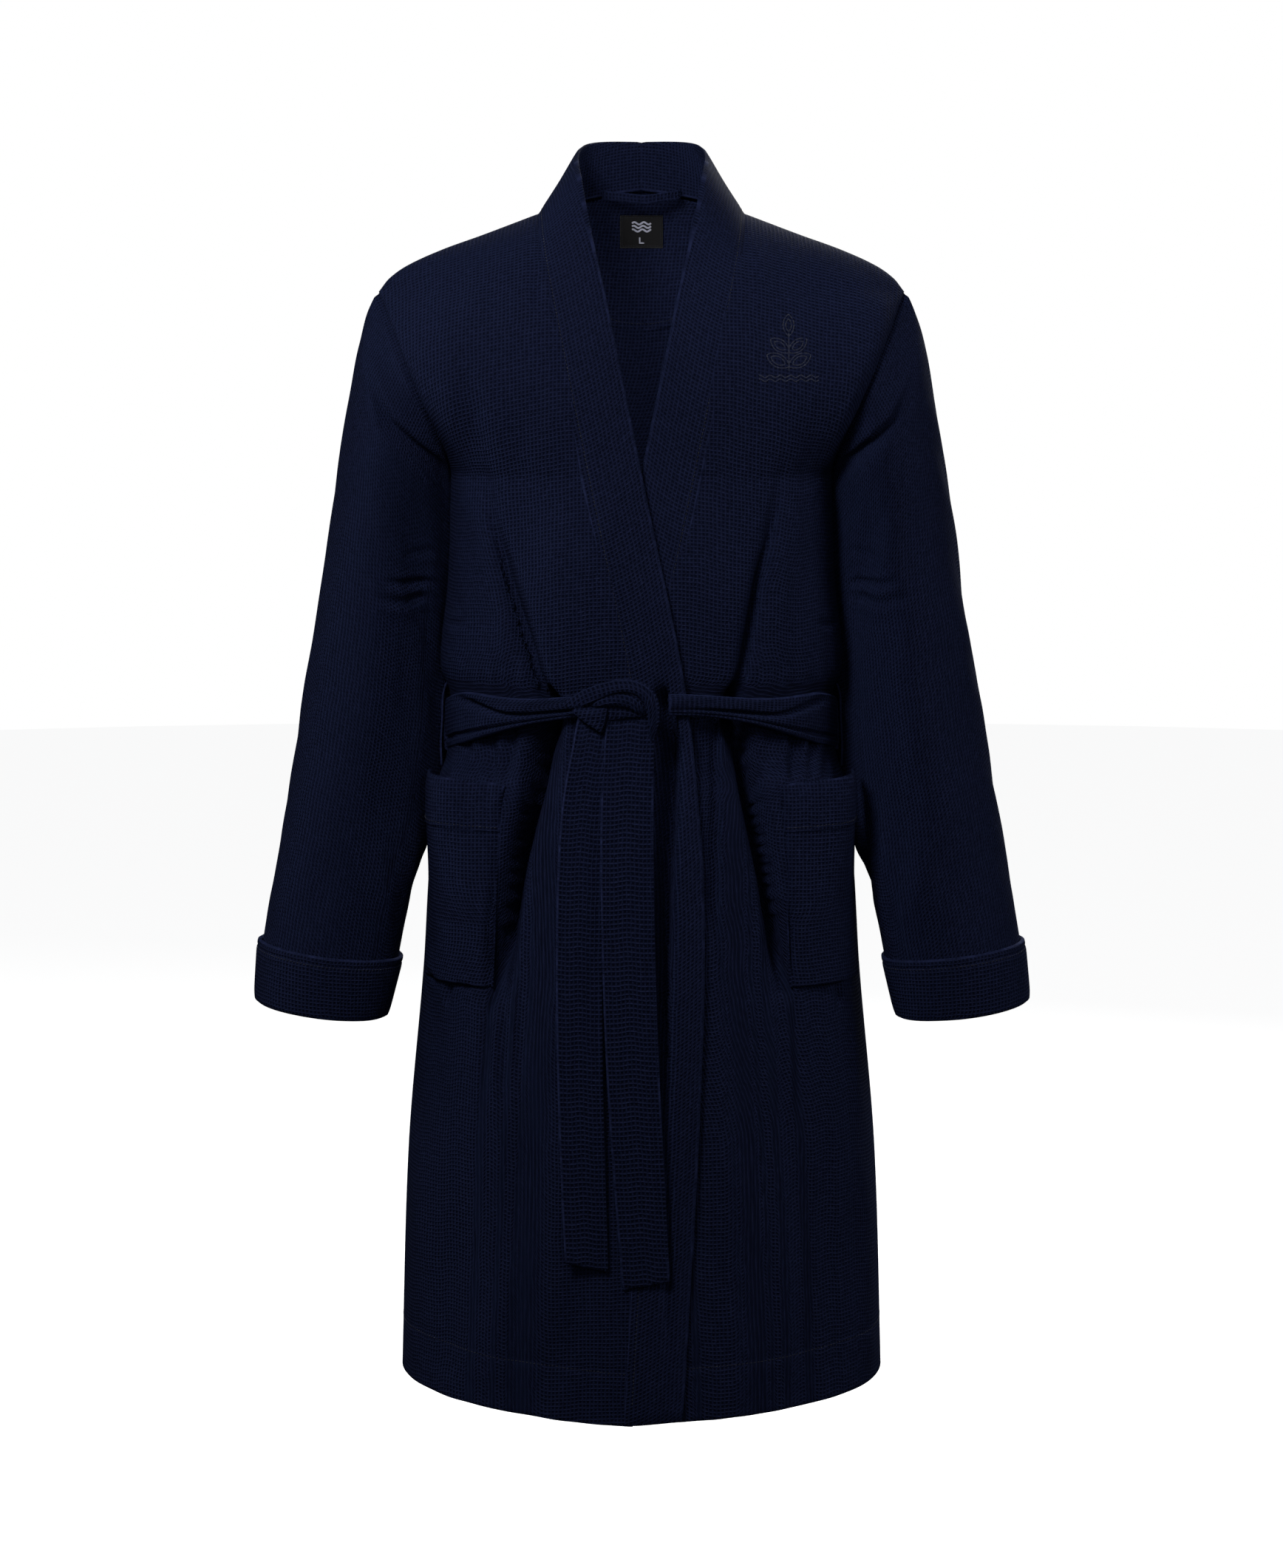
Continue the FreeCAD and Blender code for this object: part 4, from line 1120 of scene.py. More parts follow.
# ---------------------------------------------------------------- inside of the back neck
@dataclass
class NeckInside:
    """The half-moon facing, the label and the hanger loop."""

    form: RobeForm
    finishes: Wardrobe
    facing_half: float = 72.0
    facing_depth: float = 128.0
    facing_ends: float = 14.0
    loop_half: float = 35.0
    loop_width: float = 7.0
    loop_thick: float = 2.4
    loop_bow: float = 9.0
    loop_droop: float = 4.0
    loop_sunk: float = 3.0
    label_rise: float = 3.5

    def lining(self, x: Points, z: Points, layer: float) -> Points:
        """Points on the inner face of the back, a layer's depth off its outer face."""
        form = self.form
        level = 1.0 - form.shoulder_share(x, z, form.back_reach, form.ridge_height(x))
        turned_in = 9.0 * (x / self.facing_half) ** 4
        return np.stack([x, form.back(x, z) - layer - turned_in, z - layer * level], -1)

    def facing_edge(self, share: Points) -> Points:
        """Height of the facing's curved edge at shares of its half width, from -1 to 1."""
        top = self.form.ridge_height(share * self.facing_half)
        rounded = np.sqrt(1.0 - np.abs(share) ** 2.2)
        return top - self.facing_ends - (self.facing_depth - self.facing_ends) * rounded

    def facing(self) -> Object:
        """The half-moon of cloth, with its sewn edge."""
        u, v = np.meshgrid(np.linspace(-1.0, 1.0, 70), np.linspace(0.0, 1.0, 60))
        x = u * self.facing_half
        top = self.form.ridge_height(x) - 4.0
        low = self.facing_edge(u)
        z = mix(top, low, v)
        edge = (top - low) * (1.0 - v)
        dent = 0.8 * np.exp(-((edge - 6.0) / 2.0) ** 2) + 0.5 * ripples(x, z, 5, 40.0, 1.0)
        outer = self.lining(x, z, 5.8)
        outer[..., 1] += dent
        inner = self.lining(x, z, 4.4)
        inner[..., 1] += dent
        return cloth_object("back_neck_facing_cloth", outer, inner, level_map(outer), self.finishes.body,
                            rounding=0.5)

    def label(self) -> Object:
        """The woven label's cloth, a little fuller in its middle."""
        low, high = (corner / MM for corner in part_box("neck_label"))
        x, z = np.meshgrid(np.linspace(low.x, high.x, 24), np.linspace(high.z, low.z, 20))
        outer = self.lining(x, z + self.label_rise, 8.0)
        full_across = np.sin(math.pi * (x - low.x) / (high.x - low.x))
        full_down = np.sin(math.pi * (z - low.z) / (high.z - low.z))
        outer[..., 1] -= 0.5 * full_across * full_down
        inner = outer + np.array([0.0, 0.9, 0.0])
        base = cloth_object("neck_label_cloth", outer, inner, level_map(outer), self.finishes.label,
                            rounding=0.3)
        return base

    def mark_points(self, path: Sequence[tuple[float, float]], width: float) -> tuple[Points, Points]:
        """A flat woven line on the label: its outer and inner faces."""
        line = np.array(path, float)
        along = unit(np.gradient(line, axis=0))
        across = np.stack([-along[:, 1], along[:, 0]], -1) * width / 2
        flat = np.stack([line - across, line, line + across], 1)
        outer = self.lining(flat[..., 0], flat[..., 1] + self.label_rise, 9.2)
        return outer, outer + np.array([0.0, 0.7, 0.0])

    def marks(self) -> list[Object]:
        """Three woven waves and the size letter below them."""
        low, high = (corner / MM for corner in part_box("neck_label"))
        middle, top = (low.x + high.x) / 2, high.z
        drawn = []
        for number in range(3):
            x = np.linspace(middle - 8.5, middle + 8.5, 40)
            z = top - 6.5 - 3.4 * number + 1.1 * np.sin((x - middle) * 0.74 + number * 0.5)
            drawn.append((f"label_wave_{number + 1}", list(zip(x, z)), 1.5))
        stem = [(middle - 1.6, top - down) for down in (20.0, 22.6, 25.2)]
        foot = [(middle + across, top - 25.2) for across in (-2.1, 0.2, 2.3)]
        drawn += [("label_size_stem", stem, 1.2), ("label_size_foot", foot, 1.2)]
        pieces = []
        for name, path, width in drawn:
            outer, inner = self.mark_points(path, width)
            pieces.append(cloth_object(name, outer, inner, thread_map(outer), self.finishes.mark,
                                       rounding=0.1))
        return pieces

    def loop(self) -> Object:
        """The hanger loop: a folded strip, sewn down at both ends, that bows and droops."""
        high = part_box("hanger_loop")[1] / MM
        u, v = np.meshgrid(np.linspace(0.0, 1.0, 64), np.linspace(0.0, 1.0, 9))
        bow = np.sin(math.pi * u) ** 0.6
        crown = 0.5 * np.sin(math.pi * v) * bow
        x = mix(-self.loop_half, self.loop_half, u)
        y = high.y - self.loop_bow * bow - crown + 0.25 * np.sin(14.0 * u + 3.0 * v)
        z = high.z - self.loop_sunk - self.loop_droop * bow - self.loop_width * v + 0.5 * np.sin(9.0 * u)
        back = np.stack([x, y, z], -1)
        front = back - np.array([0.0, self.loop_thick, 0.0])
        return cloth_object("hanger_loop_tape", front, back, thread_map(front), self.finishes.body,
                            rounding=0.7)

    def stitch_lines(self) -> list[Points]:
        """The stitch lines round the facing and the label."""
        share = np.linspace(-0.93, 0.93, 80)
        low, high = (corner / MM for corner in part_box("neck_label"))
        top = high.z + self.label_rise - 1.7
        bottom = low.z + self.label_rise + 1.7
        left, right = low.x + 1.7, high.x - 1.7
        corners = ((left, top), (right, top), (right, bottom), (left, bottom), (left, top))
        frame = np.concatenate([np.linspace(start, end, 20) for start, end in zip(corners, corners[1:])])
        return [self.lining(share * self.facing_half, self.facing_edge(share) + 5.5, 6.1),
                self.lining(frame[:, 0], frame[:, 1], 8.3)]

    def build(self) -> None:
        """Makes the pieces inside the back neck."""
        facing = self.facing()
        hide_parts("back_neck_facing")
        label = self.label()
        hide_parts("neck_label")
        marks = self.marks()
        for piece in [facing, label, *marks]:
            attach(piece, "robe_body")
        loop = self.loop()
        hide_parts("hanger_loop")
        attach(loop, "loop")


# ---------------------------------------------------------------- sleeves and cuffs
SLEEVE_FOLDS = (
    Fold(((-161, -254), (-171, -244), (-195, -225), (-214, -207), (-223, -190), (-237, -158)),
         15.0, 10.0, 2.8, FoldKind.PLEAT, fade=(0.0, 0.5)),
    Fold(((-206, -262), (-196, -330), (-190, -420)), 6.0, 12.0, 1.2, fade=(0.3, 0.6)),
    Fold(((-180, -350), (-200, -350), (-228, -346)), 5.0, 3.2, 1.6, fade=(0.1, 0.5)),
    Fold(((-184, -362), (-206, -366), (-240, -358)), 3.4, 3.8, 1.4, fade=(0.1, 0.6)),
    Fold(((-180, -320), (-196, -326), (-208, -330)), 2.8, 3.4, 0.9, fade=(0.1, 0.5)),
    Fold(((-250, -300), (-262, -420), (-276, -540)), 2.2, 20.0, 1.0, fade=(0.5, 0.5)),
    Fold(((-214, -420), (-226, -520), (-244, -620)), 3.4, 16.0, 1.4, fade=(0.5, 0.5)),
    Fold(((-262, -560), (-288, -640), (-304, -706)), 2.2, 14.0, 1.0, fade=(0.5, 0.2)),
)


@dataclass
class Sleeve:
    """One sleeve and its cuff. Stations run from the armhole to the cuff.

    Each station holds the outer edge point and the inner edge point, across and up, then the
    half depth and the middle's place, front to back.
    """

    form: RobeForm
    cloth: Material
    side: Side
    seed: int
    rows: int = 190
    columns: int = 110
    cuff_height: float = 50.0
    cuff_stand: float = 3.6
    stations: tuple[tuple[float, float, float, float, float, float], ...] = (
        (230.0, -96.0, 167.0, -254.0, 67.0, -78.0),
        (247.0, -132.0, 173.5, -288.0, 67.0, -78.0),
        (259.0, -196.0, 174.5, -318.0, 66.0, -79.0),
        (271.0, -272.0, 178.0, -356.0, 64.0, -80.0),
        (286.0, -376.0, 184.5, -412.0, 63.0, -82.0),
        (303.0, -482.0, 186.0, -500.0, 62.0, -85.0),
        (324.0, -600.0, 201.0, -616.0, 61.0, -90.0),
        (335.0, -664.0, 213.5, -680.0, 60.5, -93.0),
        (342.0, -714.0, 223.0, -730.0, 60.0, -95.0),
    )
    tucked: tuple[float, float] = (20.0, 46.0)
    blend_start: Triple = (-202.7, -78.0, -173.3)
    blend_reach: float = 72.0
    blend_way: Triple = (-0.942, 0.0, -0.336)

    def armhole_shift(self, angle: Points) -> Points:
        """How far the armhole's real edge lies from the first station's own ring, at each angle."""
        first = self.stations[0]
        share = (1.0 + np.cos(angle)) / 2.0
        x, z = -mix(first[2], first[0], share), mix(first[3], first[1], share)
        y = first[5] - first[4] * np.sign(np.sin(angle)) * np.maximum(np.sin(math.pi * share), 0.0) ** 0.75
        edge = -self.form.half_width(z)
        real = np.where(np.sin(angle) > 0.0, self.form.front(edge, z), self.form.back(edge, z))
        return np.stack([edge - x, real - y, np.zeros_like(z)], -1)[None]

    def ring(self, values: Points, grow: Points | float) -> tuple[Points, Points]:
        """Rings of points round the sleeve and the directions out of it, on the wearer's right.

        Args:
            values: One row of station values for each ring.
            grow: How far each ring stands off the sleeve's form.
        """
        angle = np.linspace(0.0, 2.0 * math.pi, self.columns)[None, :]
        place = values[:, 5:6]
        outer = np.stack([-values[:, 0:1], place, values[:, 1:2]], -1)
        inner = np.stack([-values[:, 2:3], place, values[:, 3:4]], -1)
        middle, half = (outer + inner) / 2, (outer - inner) / 2
        length = np.linalg.norm(half, axis=-1, keepdims=True)
        across = half / length
        wide = (length[..., 0] + grow) * np.cos(angle)
        share = (1.0 + np.cos(angle)) / 2.0
        armhole = np.sign(np.sin(angle)) * np.maximum(np.sin(math.pi * share), 0.0) ** 0.75
        fit = 1.0 - smooth_step(-values[:, 1:2], -self.stations[0][1], 60.0 - self.stations[0][1])
        deep = -(values[:, 4:5] + grow) * mix(np.sin(angle), armhole, fit)
        points = middle + across * wide[..., None] + np.array([0.0, 1.0, 0.0]) * deep[..., None]
        points = points + self.armhole_shift(angle[0]) * fit[..., None]
        outwards = unit(across * (np.cos(angle) / length[..., 0])[..., None]
                        - np.array([0.0, 1.0, 0.0]) * (np.sin(angle) / values[:, 4:5])[..., None])
        depth = -values[:, 3:4]
        hidden = smooth_step(depth, 248.0, 310.0) * (1.0 - smooth_step(depth, 540.0, 625.0))
        inner_edge = np.maximum(-np.cos(angle), 0.0) ** 2 * hidden
        points = points + inner_edge[..., None] * np.array([self.tucked[0], self.tucked[1], 0.0])
        return points, outwards

    def values(self, places: Points) -> Points:
        """Station values at places from 0, the armhole, to 1, the cuff's edge."""
        return spline_weights(len(self.stations), places) @ np.array(self.stations)

    def sleeve_points(self) -> tuple[Points, Points]:
        """The sleeve's outer and inner faces, with its folds."""
        places = np.concatenate([np.zeros(3), np.linspace(0.0, 1.0, self.rows - 3) ** 1.3])
        values = self.values(places)
        points, outwards = self.ring(values, 0.0)
        x, z = points[..., 0], points[..., 2]
        angle = np.linspace(0.0, 2.0 * math.pi, self.columns)[None, :]
        relief = ripples(points[..., 1] * 1.2 + x, z, self.seed, 60.0, 1.2)
        relief += ripples(points[..., 1] + x, z, self.seed + 1, 26.0, 0.4)
        facing = 0.55 + 0.45 * smooth_step(np.sin(angle), -0.2, 0.2)
        edge = np.abs(np.sin(angle)) ** 0.5
        for fold in SLEEVE_FOLDS:
            relief += 0.75 * fold.relief(x, z) * facing * edge
        along = places[:, None]
        seam = 3.0 * smooth_step(along, 0.0, 0.012) * (1.0 - smooth_step(along, 0.03, 0.16)) - 1.0
        calm = smooth_step(along, 0.0, 0.05) * (1.0 - smooth_step(along, 0.86, 0.93))
        outer = points + outwards * (relief * calm + seam)[..., None]
        sunk = np.zeros((self.rows, 1, 1))
        sunk[:3, 0, 0] = (6.0, 3.6, 1.2)
        outer = outer - (np.array(self.blend_way) + outwards * 0.6) * sunk
        return outer, outer - outwards * self.form.cloth

    def cuff_points(self) -> tuple[Points, Points, Points]:
        """The cuff's outer and inner faces and its map of threads."""
        before, end = np.array(self.stations[-2]), np.array(self.stations[-1])
        run = math.hypot(*(end - before)[:2])
        shares = np.linspace(1.0 - self.cuff_height / run, 1.0 + 1.5 / run, 40)[:, None]
        values = before + (end - before) * shares
        along = np.linspace(0.0, 1.0, 40)[:, None]
        stand = mix(self.cuff_stand, 0.4, along) - 0.9 * (np.abs(2.0 * along - 1.0) ** 6)
        stitch = -0.8 * np.exp(-((along - 0.10) / 0.03) ** 2)
        points, outwards = self.ring(values, 0.0)
        wave = ripples(points[..., 0] + points[..., 1], points[..., 2], self.seed + 4, 70.0, 0.7)
        outer = points + outwards * (stand + stitch + wave)[..., None]
        return outer, outer - outwards * self.form.band, thread_map(outer)

    def build(self) -> Points:
        """Makes the sleeve and the cuff, and returns the cuff's stitch line."""
        arm = self.side.word + "_arm"
        outer, inner = self.sleeve_points()
        name = self.side.word + "_sleeve_cloth"
        sleeve = cloth_object(name, self.side.place(outer), self.side.place(inner), thread_map(outer),
                              self.cloth, wrapped=True)
        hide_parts(self.side.word + "_sleeve")
        start = self.side.place(np.array(self.blend_start))
        way = self.side.place(np.array(self.blend_way))
        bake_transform(sleeve)
        outer, inner, threads = self.cuff_points()
        cuff = cloth_object(self.side.word + "_cuff_cloth", self.side.place(outer), self.side.place(inner),
                            threads, self.cloth, rounding=1.6, wrapped=True)
        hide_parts(self.side.word + "_cuff")
        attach(cuff, arm)
        return self.side.place(outer[5])


# ---------------------------------------------------------------- pockets
@dataclass
class Pocket:
    """A patch pocket with a double band along its mouth, on the wearer's right or left."""

    form: RobeForm
    cloth: Material
    side: Side
    drape: Drape
    clear: float = 0.6
    belly: float = 15.0
    flare: float = 10.0
    band_height: float = 39.0
    span: tuple[float, float] = (0.66, 0.972)
    columns: int = 56

    def __post_init__(self) -> None:
        """Reads the pocket's heights from the frame."""
        self.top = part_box(self.side.word + "_pocket_band")[1].z / MM
        self.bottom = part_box(self.side.word + "_pocket")[0].z / MM
        self.seam = self.top - self.band_height

    def faces(self, high: float, low: float, grow: float, rows: int) -> tuple[Points, Points]:
        """Outer and inner faces of the pocket between two heights.

        Args:
            high: Upper height.
            low: Lower height.
            grow: How much the outer face stands off the patch's.
            rows: How many rows of points.
        """
        u, z = np.meshgrid(np.linspace(0.0, 1.0, self.columns), np.linspace(high, low, rows))
        down = (self.top - z) / (self.top - self.bottom)
        belly = self.belly * np.sin(math.pi * u ** 1.5) * (1.0 - 0.85 * np.clip(down, 0.0, 1.0) ** 1.5)
        belly = belly + self.flare * smooth_step(u, 0.45, 1.0) * np.clip(1.0 - 1.6 * down, 0.0, 1.0) ** 1.4
        sag = 1.1 * ripples(u * 60.0, z, 71, 46.0, 1.0) * np.sin(math.pi * u)
        x = -mix(*self.span, u) * self.form.half_width(z)
        tilt = 7.0 * u * np.clip(1.0 - 2.2 * down, 0.0, 1.0)
        inwards = smooth_step(1.0 - np.abs(x) / self.form.half_width(z), 0.0, 0.08)
        under = self.drape.relief(x * -self.side.value, z) * inwards * smooth_step(u, 0.0, 0.06)
        y = self.form.front(x, z)
        slope = (self.form.front(x + 1.0, z) - self.form.front(x - 1.0, z)) / 2.0
        outwards = unit(np.stack([slope, -np.ones_like(slope), np.zeros_like(slope)], -1))
        base = np.stack([x, y, z + tilt], -1)
        stand = self.clear + self.form.cloth + np.maximum(belly + sag, 0.0) + 0.9 * under
        stand = stand - 1.4 * (1.0 - smooth_step(u, 0.0, 0.10))
        sewn = 1.0 - np.exp(-(u / 0.03) ** 2) * smooth_step(down, 0.04, 0.10) * 0.6
        outer = base + outwards * (stand * sewn + grow)[..., None]
        return outer, base + outwards * (stand * sewn - self.form.cloth)[..., None]

    def build(self) -> Points:
        """Makes the patch and its band, and returns the band's stitch line."""
        word = self.side.word
        outer, inner = self.faces(self.seam + 1.0, self.bottom, 0.0, 66)
        patch = cloth_object(word + "_pocket_cloth", self.side.place(outer), self.side.place(inner),
                             level_map(outer), self.cloth, rounding=0.8)
        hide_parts(word + "_pocket")
        outer, inner = self.faces(self.top, self.seam, 1.0, 22)
        band = cloth_object(word + "_pocket_band_cloth", self.side.place(outer), self.side.place(inner),
                            level_map(outer), self.cloth, rounding=1.3)
        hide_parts(word + "_pocket_band")
        for piece in (patch, band):
            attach(piece, "robe_body")
        return self.side.place(outer[-3, 2:-2] + np.array([0.0, -0.3, 0.0]))


# ---------------------------------------------------------------- belt
@dataclass
class Belt:
    """The belt round the waist, its knot, its two hanging ends and the loops that hold it."""

    form: RobeForm
    cloth: Material
    loop_cloth: Material
    width: float = 42.0
    thick: float = 4.0
    stand: float = 4.0
    side_height: float = -476.0
    front_height: float = -447.0
    start: float = 8.0
    end: float = 343.0
    long_end: tuple[tuple[float, float, float, float], ...] = (
        (-443.0, -27.0, 7.0, -214.0), (-460.0, -29.0, 9.0, -219.0), (-479.0, -30.0, 9.5, -222.0),
        (-540.0, -32.5, 9.5, -226.0), (-640.0, -32.5, 9.5, -229.5), (-760.0, -30.0, 12.0, -232.0),
        (-860.0, -22.0, 18.0, -234.0), (-937.0, -15.0, 22.0, -236.0))
    short_end: tuple[tuple[float, float, float, float], ...] = (
        (-452.0, -50.0, -26.0, -212.0), (-466.0, -54.0, -29.0, -217.0), (-479.0, -56.0, -32.0, -219.5),
        (-520.0, -67.0, -33.5, -223.0), (-600.0, -71.0, -34.0, -227.0), (-740.0, -70.0, -33.5, -231.0),
        (-850.0, -66.0, -31.0, -233.0), (-921.0, -63.0, -29.0, -235.0))

    def wrap_points(self) -> tuple[Points, Points]:
        """The belt from one side of its knot round the back to the other, pleated as it nears the knot."""
        turns, v = np.meshgrid(np.linspace(self.start, self.end, 620), np.linspace(-1.0, 1.0, 41))
        angle = np.radians(turns)
        ahead = np.maximum(np.cos(angle), 0.0)
        gather = smooth_step(ahead, 0.42, 0.97)
        middle = mix(self.side_height, self.front_height, ahead ** 1.3) + 1.0 * np.sin(turns / 9.0)
        height = mix(self.width, 17.0, gather)
        front, rear = smooth_step(ahead, 0.1, 0.5), smooth_step(-np.cos(angle), 0.1, 0.5)
        stand = 1.8 + (self.stand - 1.8) * front + 1.2 * rear
        x = np.sin(angle) * (self.form.half_width(middle) + stand)
        lift = (self.form.overlap_lift + 1.4) * smooth_step(ahead, 0.45, 0.8)
        behind = np.cos(angle) <= 0.0
        y = np.where(behind, self.form.back(x, middle) + stand, self.form.front(x, middle) - stand - lift)
        near = np.clip((ahead - 0.42) / 0.50, 0.0, 1.0)
        upper = np.exp(-((v - mix(-0.85, 0.40, near) - 0.06 * np.sin(turns / 5.0)) / 0.17) ** 2)
        lower = np.exp(-((v - mix(0.66, 0.80, near)) / 0.10) ** 2)
        shown = smooth_step(ahead, 0.30, 0.60) * (1.0 - 0.8 * smooth_step(ahead, 0.90, 0.99))
        dents = 6.4 * upper * shown + 4.4 * lower * smooth_step(ahead, 0.05, 0.30) * (1.0 - 0.6 * gather)
        rounded = mix(0.5, 3.0, gather) * np.sqrt(np.maximum(1.0 - v ** 2, 0.0))
        uneven = 0.5 * np.sin(turns / 7.0 + v * 2.5) + 0.4 * np.sin(turns / 3.1 + v * 4.0) * gather
        side = np.where(behind, 1.0, -1.0)
        outwards = unit(np.stack([np.sin(angle), side * np.abs(np.cos(angle)), np.zeros_like(x)], -1))
        surface = np.stack([x, y, middle - v * height / 2], -1)
        inner = surface + outwards * (0.4 * uneven - 0.45 * dents)[..., None]
        outer = surface + outwards * (self.thick + rounded + uneven - dents)[..., None]
        return outer, inner

    def wrap(self) -> Object:
        """The belt round the waist as a piece."""
        outer, inner = self.wrap_points()
        along = arc_lengths(outer, 1)
        across = np.linspace(0.0, self.width, len(along))[:, None] * np.ones_like(along)
        wrap = cloth_object("belt_wrap_cloth", outer, inner, np.stack([across, along], -1), self.cloth,
                            rounding=1.6)
        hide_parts("belt_wrap")
        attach(wrap, "robe_body")
        return wrap

    def hanging(self, name: str, stations: Sequence[tuple[float, float, float, float]], node: str,
                seed: int, slant: float) -> None:
        """One hanging end of the belt, bending at its top.

        Args:
            name: The piece's name.
            stations: Height, left and right edge, and place, down the strip.
            node: The CAD node that it stands for.
            seed: Chooses its ripples.
            slant: How much lower its left corner hangs than its right one.
        """
        poles = np.array([[[mix(left, right, share), y, z] for share in (0.0, 0.5, 1.0)]
                          for z, left, right, y in stations])
        outer = spline_grid(poles, 250, 21)
        down = np.linspace(0.0, 1.0, 250)[:, None]
        across = np.linspace(-1.0, 1.0, 21)[None, :]
        curl = 1.4 * across ** 2 * np.sin(down * 9.0 + seed)
        curl = curl + 2.2 * across * np.sin(down * 5.0 + seed) * down
        relief = curl + ripples(outer[..., 0], outer[..., 2], seed, 46.0, 0.6)
        edge = np.abs(across)
        rim = 0.9 * np.exp(-((1.0 - edge) / 0.10) ** 2) - 0.7 * np.exp(-((0.82 - edge) / 0.07) ** 2)
        top = np.exp(-(down / 0.05) ** 2)
        outer[..., 1] -= relief + rim - 3.0 * top * np.cos(across * 4.0)
        outer[..., 0] += 0.9 * np.sin(down * 7.0 + seed)
        outer[..., 2] -= slant * across * -0.5 * down ** 6
        inner = outer + np.array([0.0, self.thick, 0.0])
        piece = cloth_object(name, outer, inner, thread_map(outer), self.cloth, rounding=1.7)
        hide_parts(node)
        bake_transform(piece)

    def strand(self, name: str, path: Sequence[Triple], widths: Sequence[float], seed: int) -> Object:
        """A rolled stretch of belt in the knot.

        Args:
            name: The piece's name.
            path: Points of its middle, across, front to back, and up.
            widths: Its width at each point.
            seed: Chooses its creases.
        """
        poles = np.array(path, float)[:, None, :]
        middle = spline_grid(poles, 90, 1)[:, 0]
        width = (spline_weights(len(widths), np.linspace(0, 1, 90)) @ np.array(widths))[:, None]
        along = unit(np.gradient(middle, axis=0))
        across = unit(np.cross(along, np.array([0.0, 1.0, 0.0])))
        forward = unit(np.cross(across, along))
        angle = np.linspace(0.0, 2.0 * math.pi, 41)[None, :]
        step = np.linspace(0.0, 1.0, 90)[:, None]
        grooves = 0.10 * np.cos(angle * 4.0 + step * 3.0 + seed)
        grooves = grooves + 0.06 * np.cos(angle * 7.0 - step * 5.0 + seed)
        opening, closing = (np.sin(np.clip(share * 12.0, 0, math.pi / 2)) for share in (step, 1.0 - step))
        radius = (0.5 + grooves * 0.5) * np.maximum(opening * closing, 0.02)
        ring = (across[:, None] * (np.cos(angle) * radius * width)[..., None]
                - forward[:, None] * (np.sin(angle) * radius * np.minimum(width * 0.62, 9.5))[..., None])
        points = middle[:, None] + ring
        return self.tube_object(name, points)

    def tube_object(self, name: str, points: Points) -> Object:
        """A closed piece from rings whose last column meets the first, capped at both ends."""
        rows, columns = points.shape[0], points.shape[1] - 1
        index = np.arange(rows * columns).reshape(rows, columns)
        wrapped = np.concatenate([index, index[:, :1]], axis=1)
        place = np.arange(rows * (columns + 1)).reshape(rows, columns + 1)
        quads, corners = grid_quads(wrapped), grid_quads(place)
        threads = thread_map(points).reshape(-1, 2)[corners].reshape(-1, 2) * MM
        caps = [index[0, ::-1].tolist(), index[-1].tolist()]
        return mesh_object(name, points[:, :-1].reshape(-1, 3) * MM, quads, self.cloth, threads, caps)

    def knot(self) -> None:
        """The knot: a wrapped strand over a folded core, with a flap where the short end comes out."""
        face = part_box("belt_knot")[0].y / MM
        core = self.strand("belt_knot_core", (
            (-52, face + 14, -449), (-40, face + 13, -447), (-20, face + 12, -445), (-4, face + 13, -447),
            (6, face + 16, -452)), (12, 20, 24, 20, 10), 1)
        over = self.strand("belt_knot_strand", (
            (-72, face + 15, -446.5), (-56, face + 10, -443), (-40, face + 5, -434), (-21, face + 1, -427),
            (-3, face + 0, -428), (8, face + 2, -438), (10, face + 5, -452), (9.5, face + 9, -467),
            (7.5, face + 14, -482)), (13, 14, 13, 11, 12, 12, 10, 8, 5), 3)
        under = self.strand("belt_knot_under_strand", (
            (-46, face + 10, -445), (-34, face + 5, -440), (-18, face + 3, -438), (-4, face + 3.5, -442),
            (3, face + 7, -453)), (7, 11, 11, 10, 7), 4)
        flap = self.strand("belt_knot_flap", (
            (-59, face + 12, -449.5), (-49, face + 8, -451.5), (-39, face + 6, -455),
            (-29, face + 9, -457.5)), (3, 8, 18, 26), 6)
        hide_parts("belt_knot")
        for piece in (core, over, under, flap):
            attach(piece, "robe_body")

    def loops(self) -> None:
        """The two narrow strips that hold the belt at the side seams."""
        heights = np.array((-440.0, -446.0, -453.0, -472.0, -491.0, -499.0, -512.0))
        stands = np.array((0.4, 4.6, 6.4, 6.8, 6.4, 4.6, 0.4))
        for side in Side:
            grids = []
            for thick in (1.8, 0.0):
                x = -(self.form.half_width(heights) + stands + thick)
                poles = np.array([[[a, self.form.side_place + shift, z] for shift in (-6.5, 0.0, 6.5)]
                                  for a, z in zip(x, heights)])
                grids.append(side.place(spline_grid(poles, 40, 9)))
            outer, inner = grids
            piece = cloth_object(side.word + "_belt_loop_tape", outer, inner, thread_map(outer),
                                 self.loop_cloth, rounding=0.6)
            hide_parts(side.word + "_belt_loop")
            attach(piece, "robe_body")

    def build(self) -> None:
        """Makes the belt's pieces."""
        self.loops()
        self.wrap()
        self.knot()
        self.hanging("belt_long_end_cloth", self.long_end, "belt_long_end", 2, 8.0)
        self.hanging("belt_short_end_cloth", self.short_end, "belt_short_end", 5, -8.0)


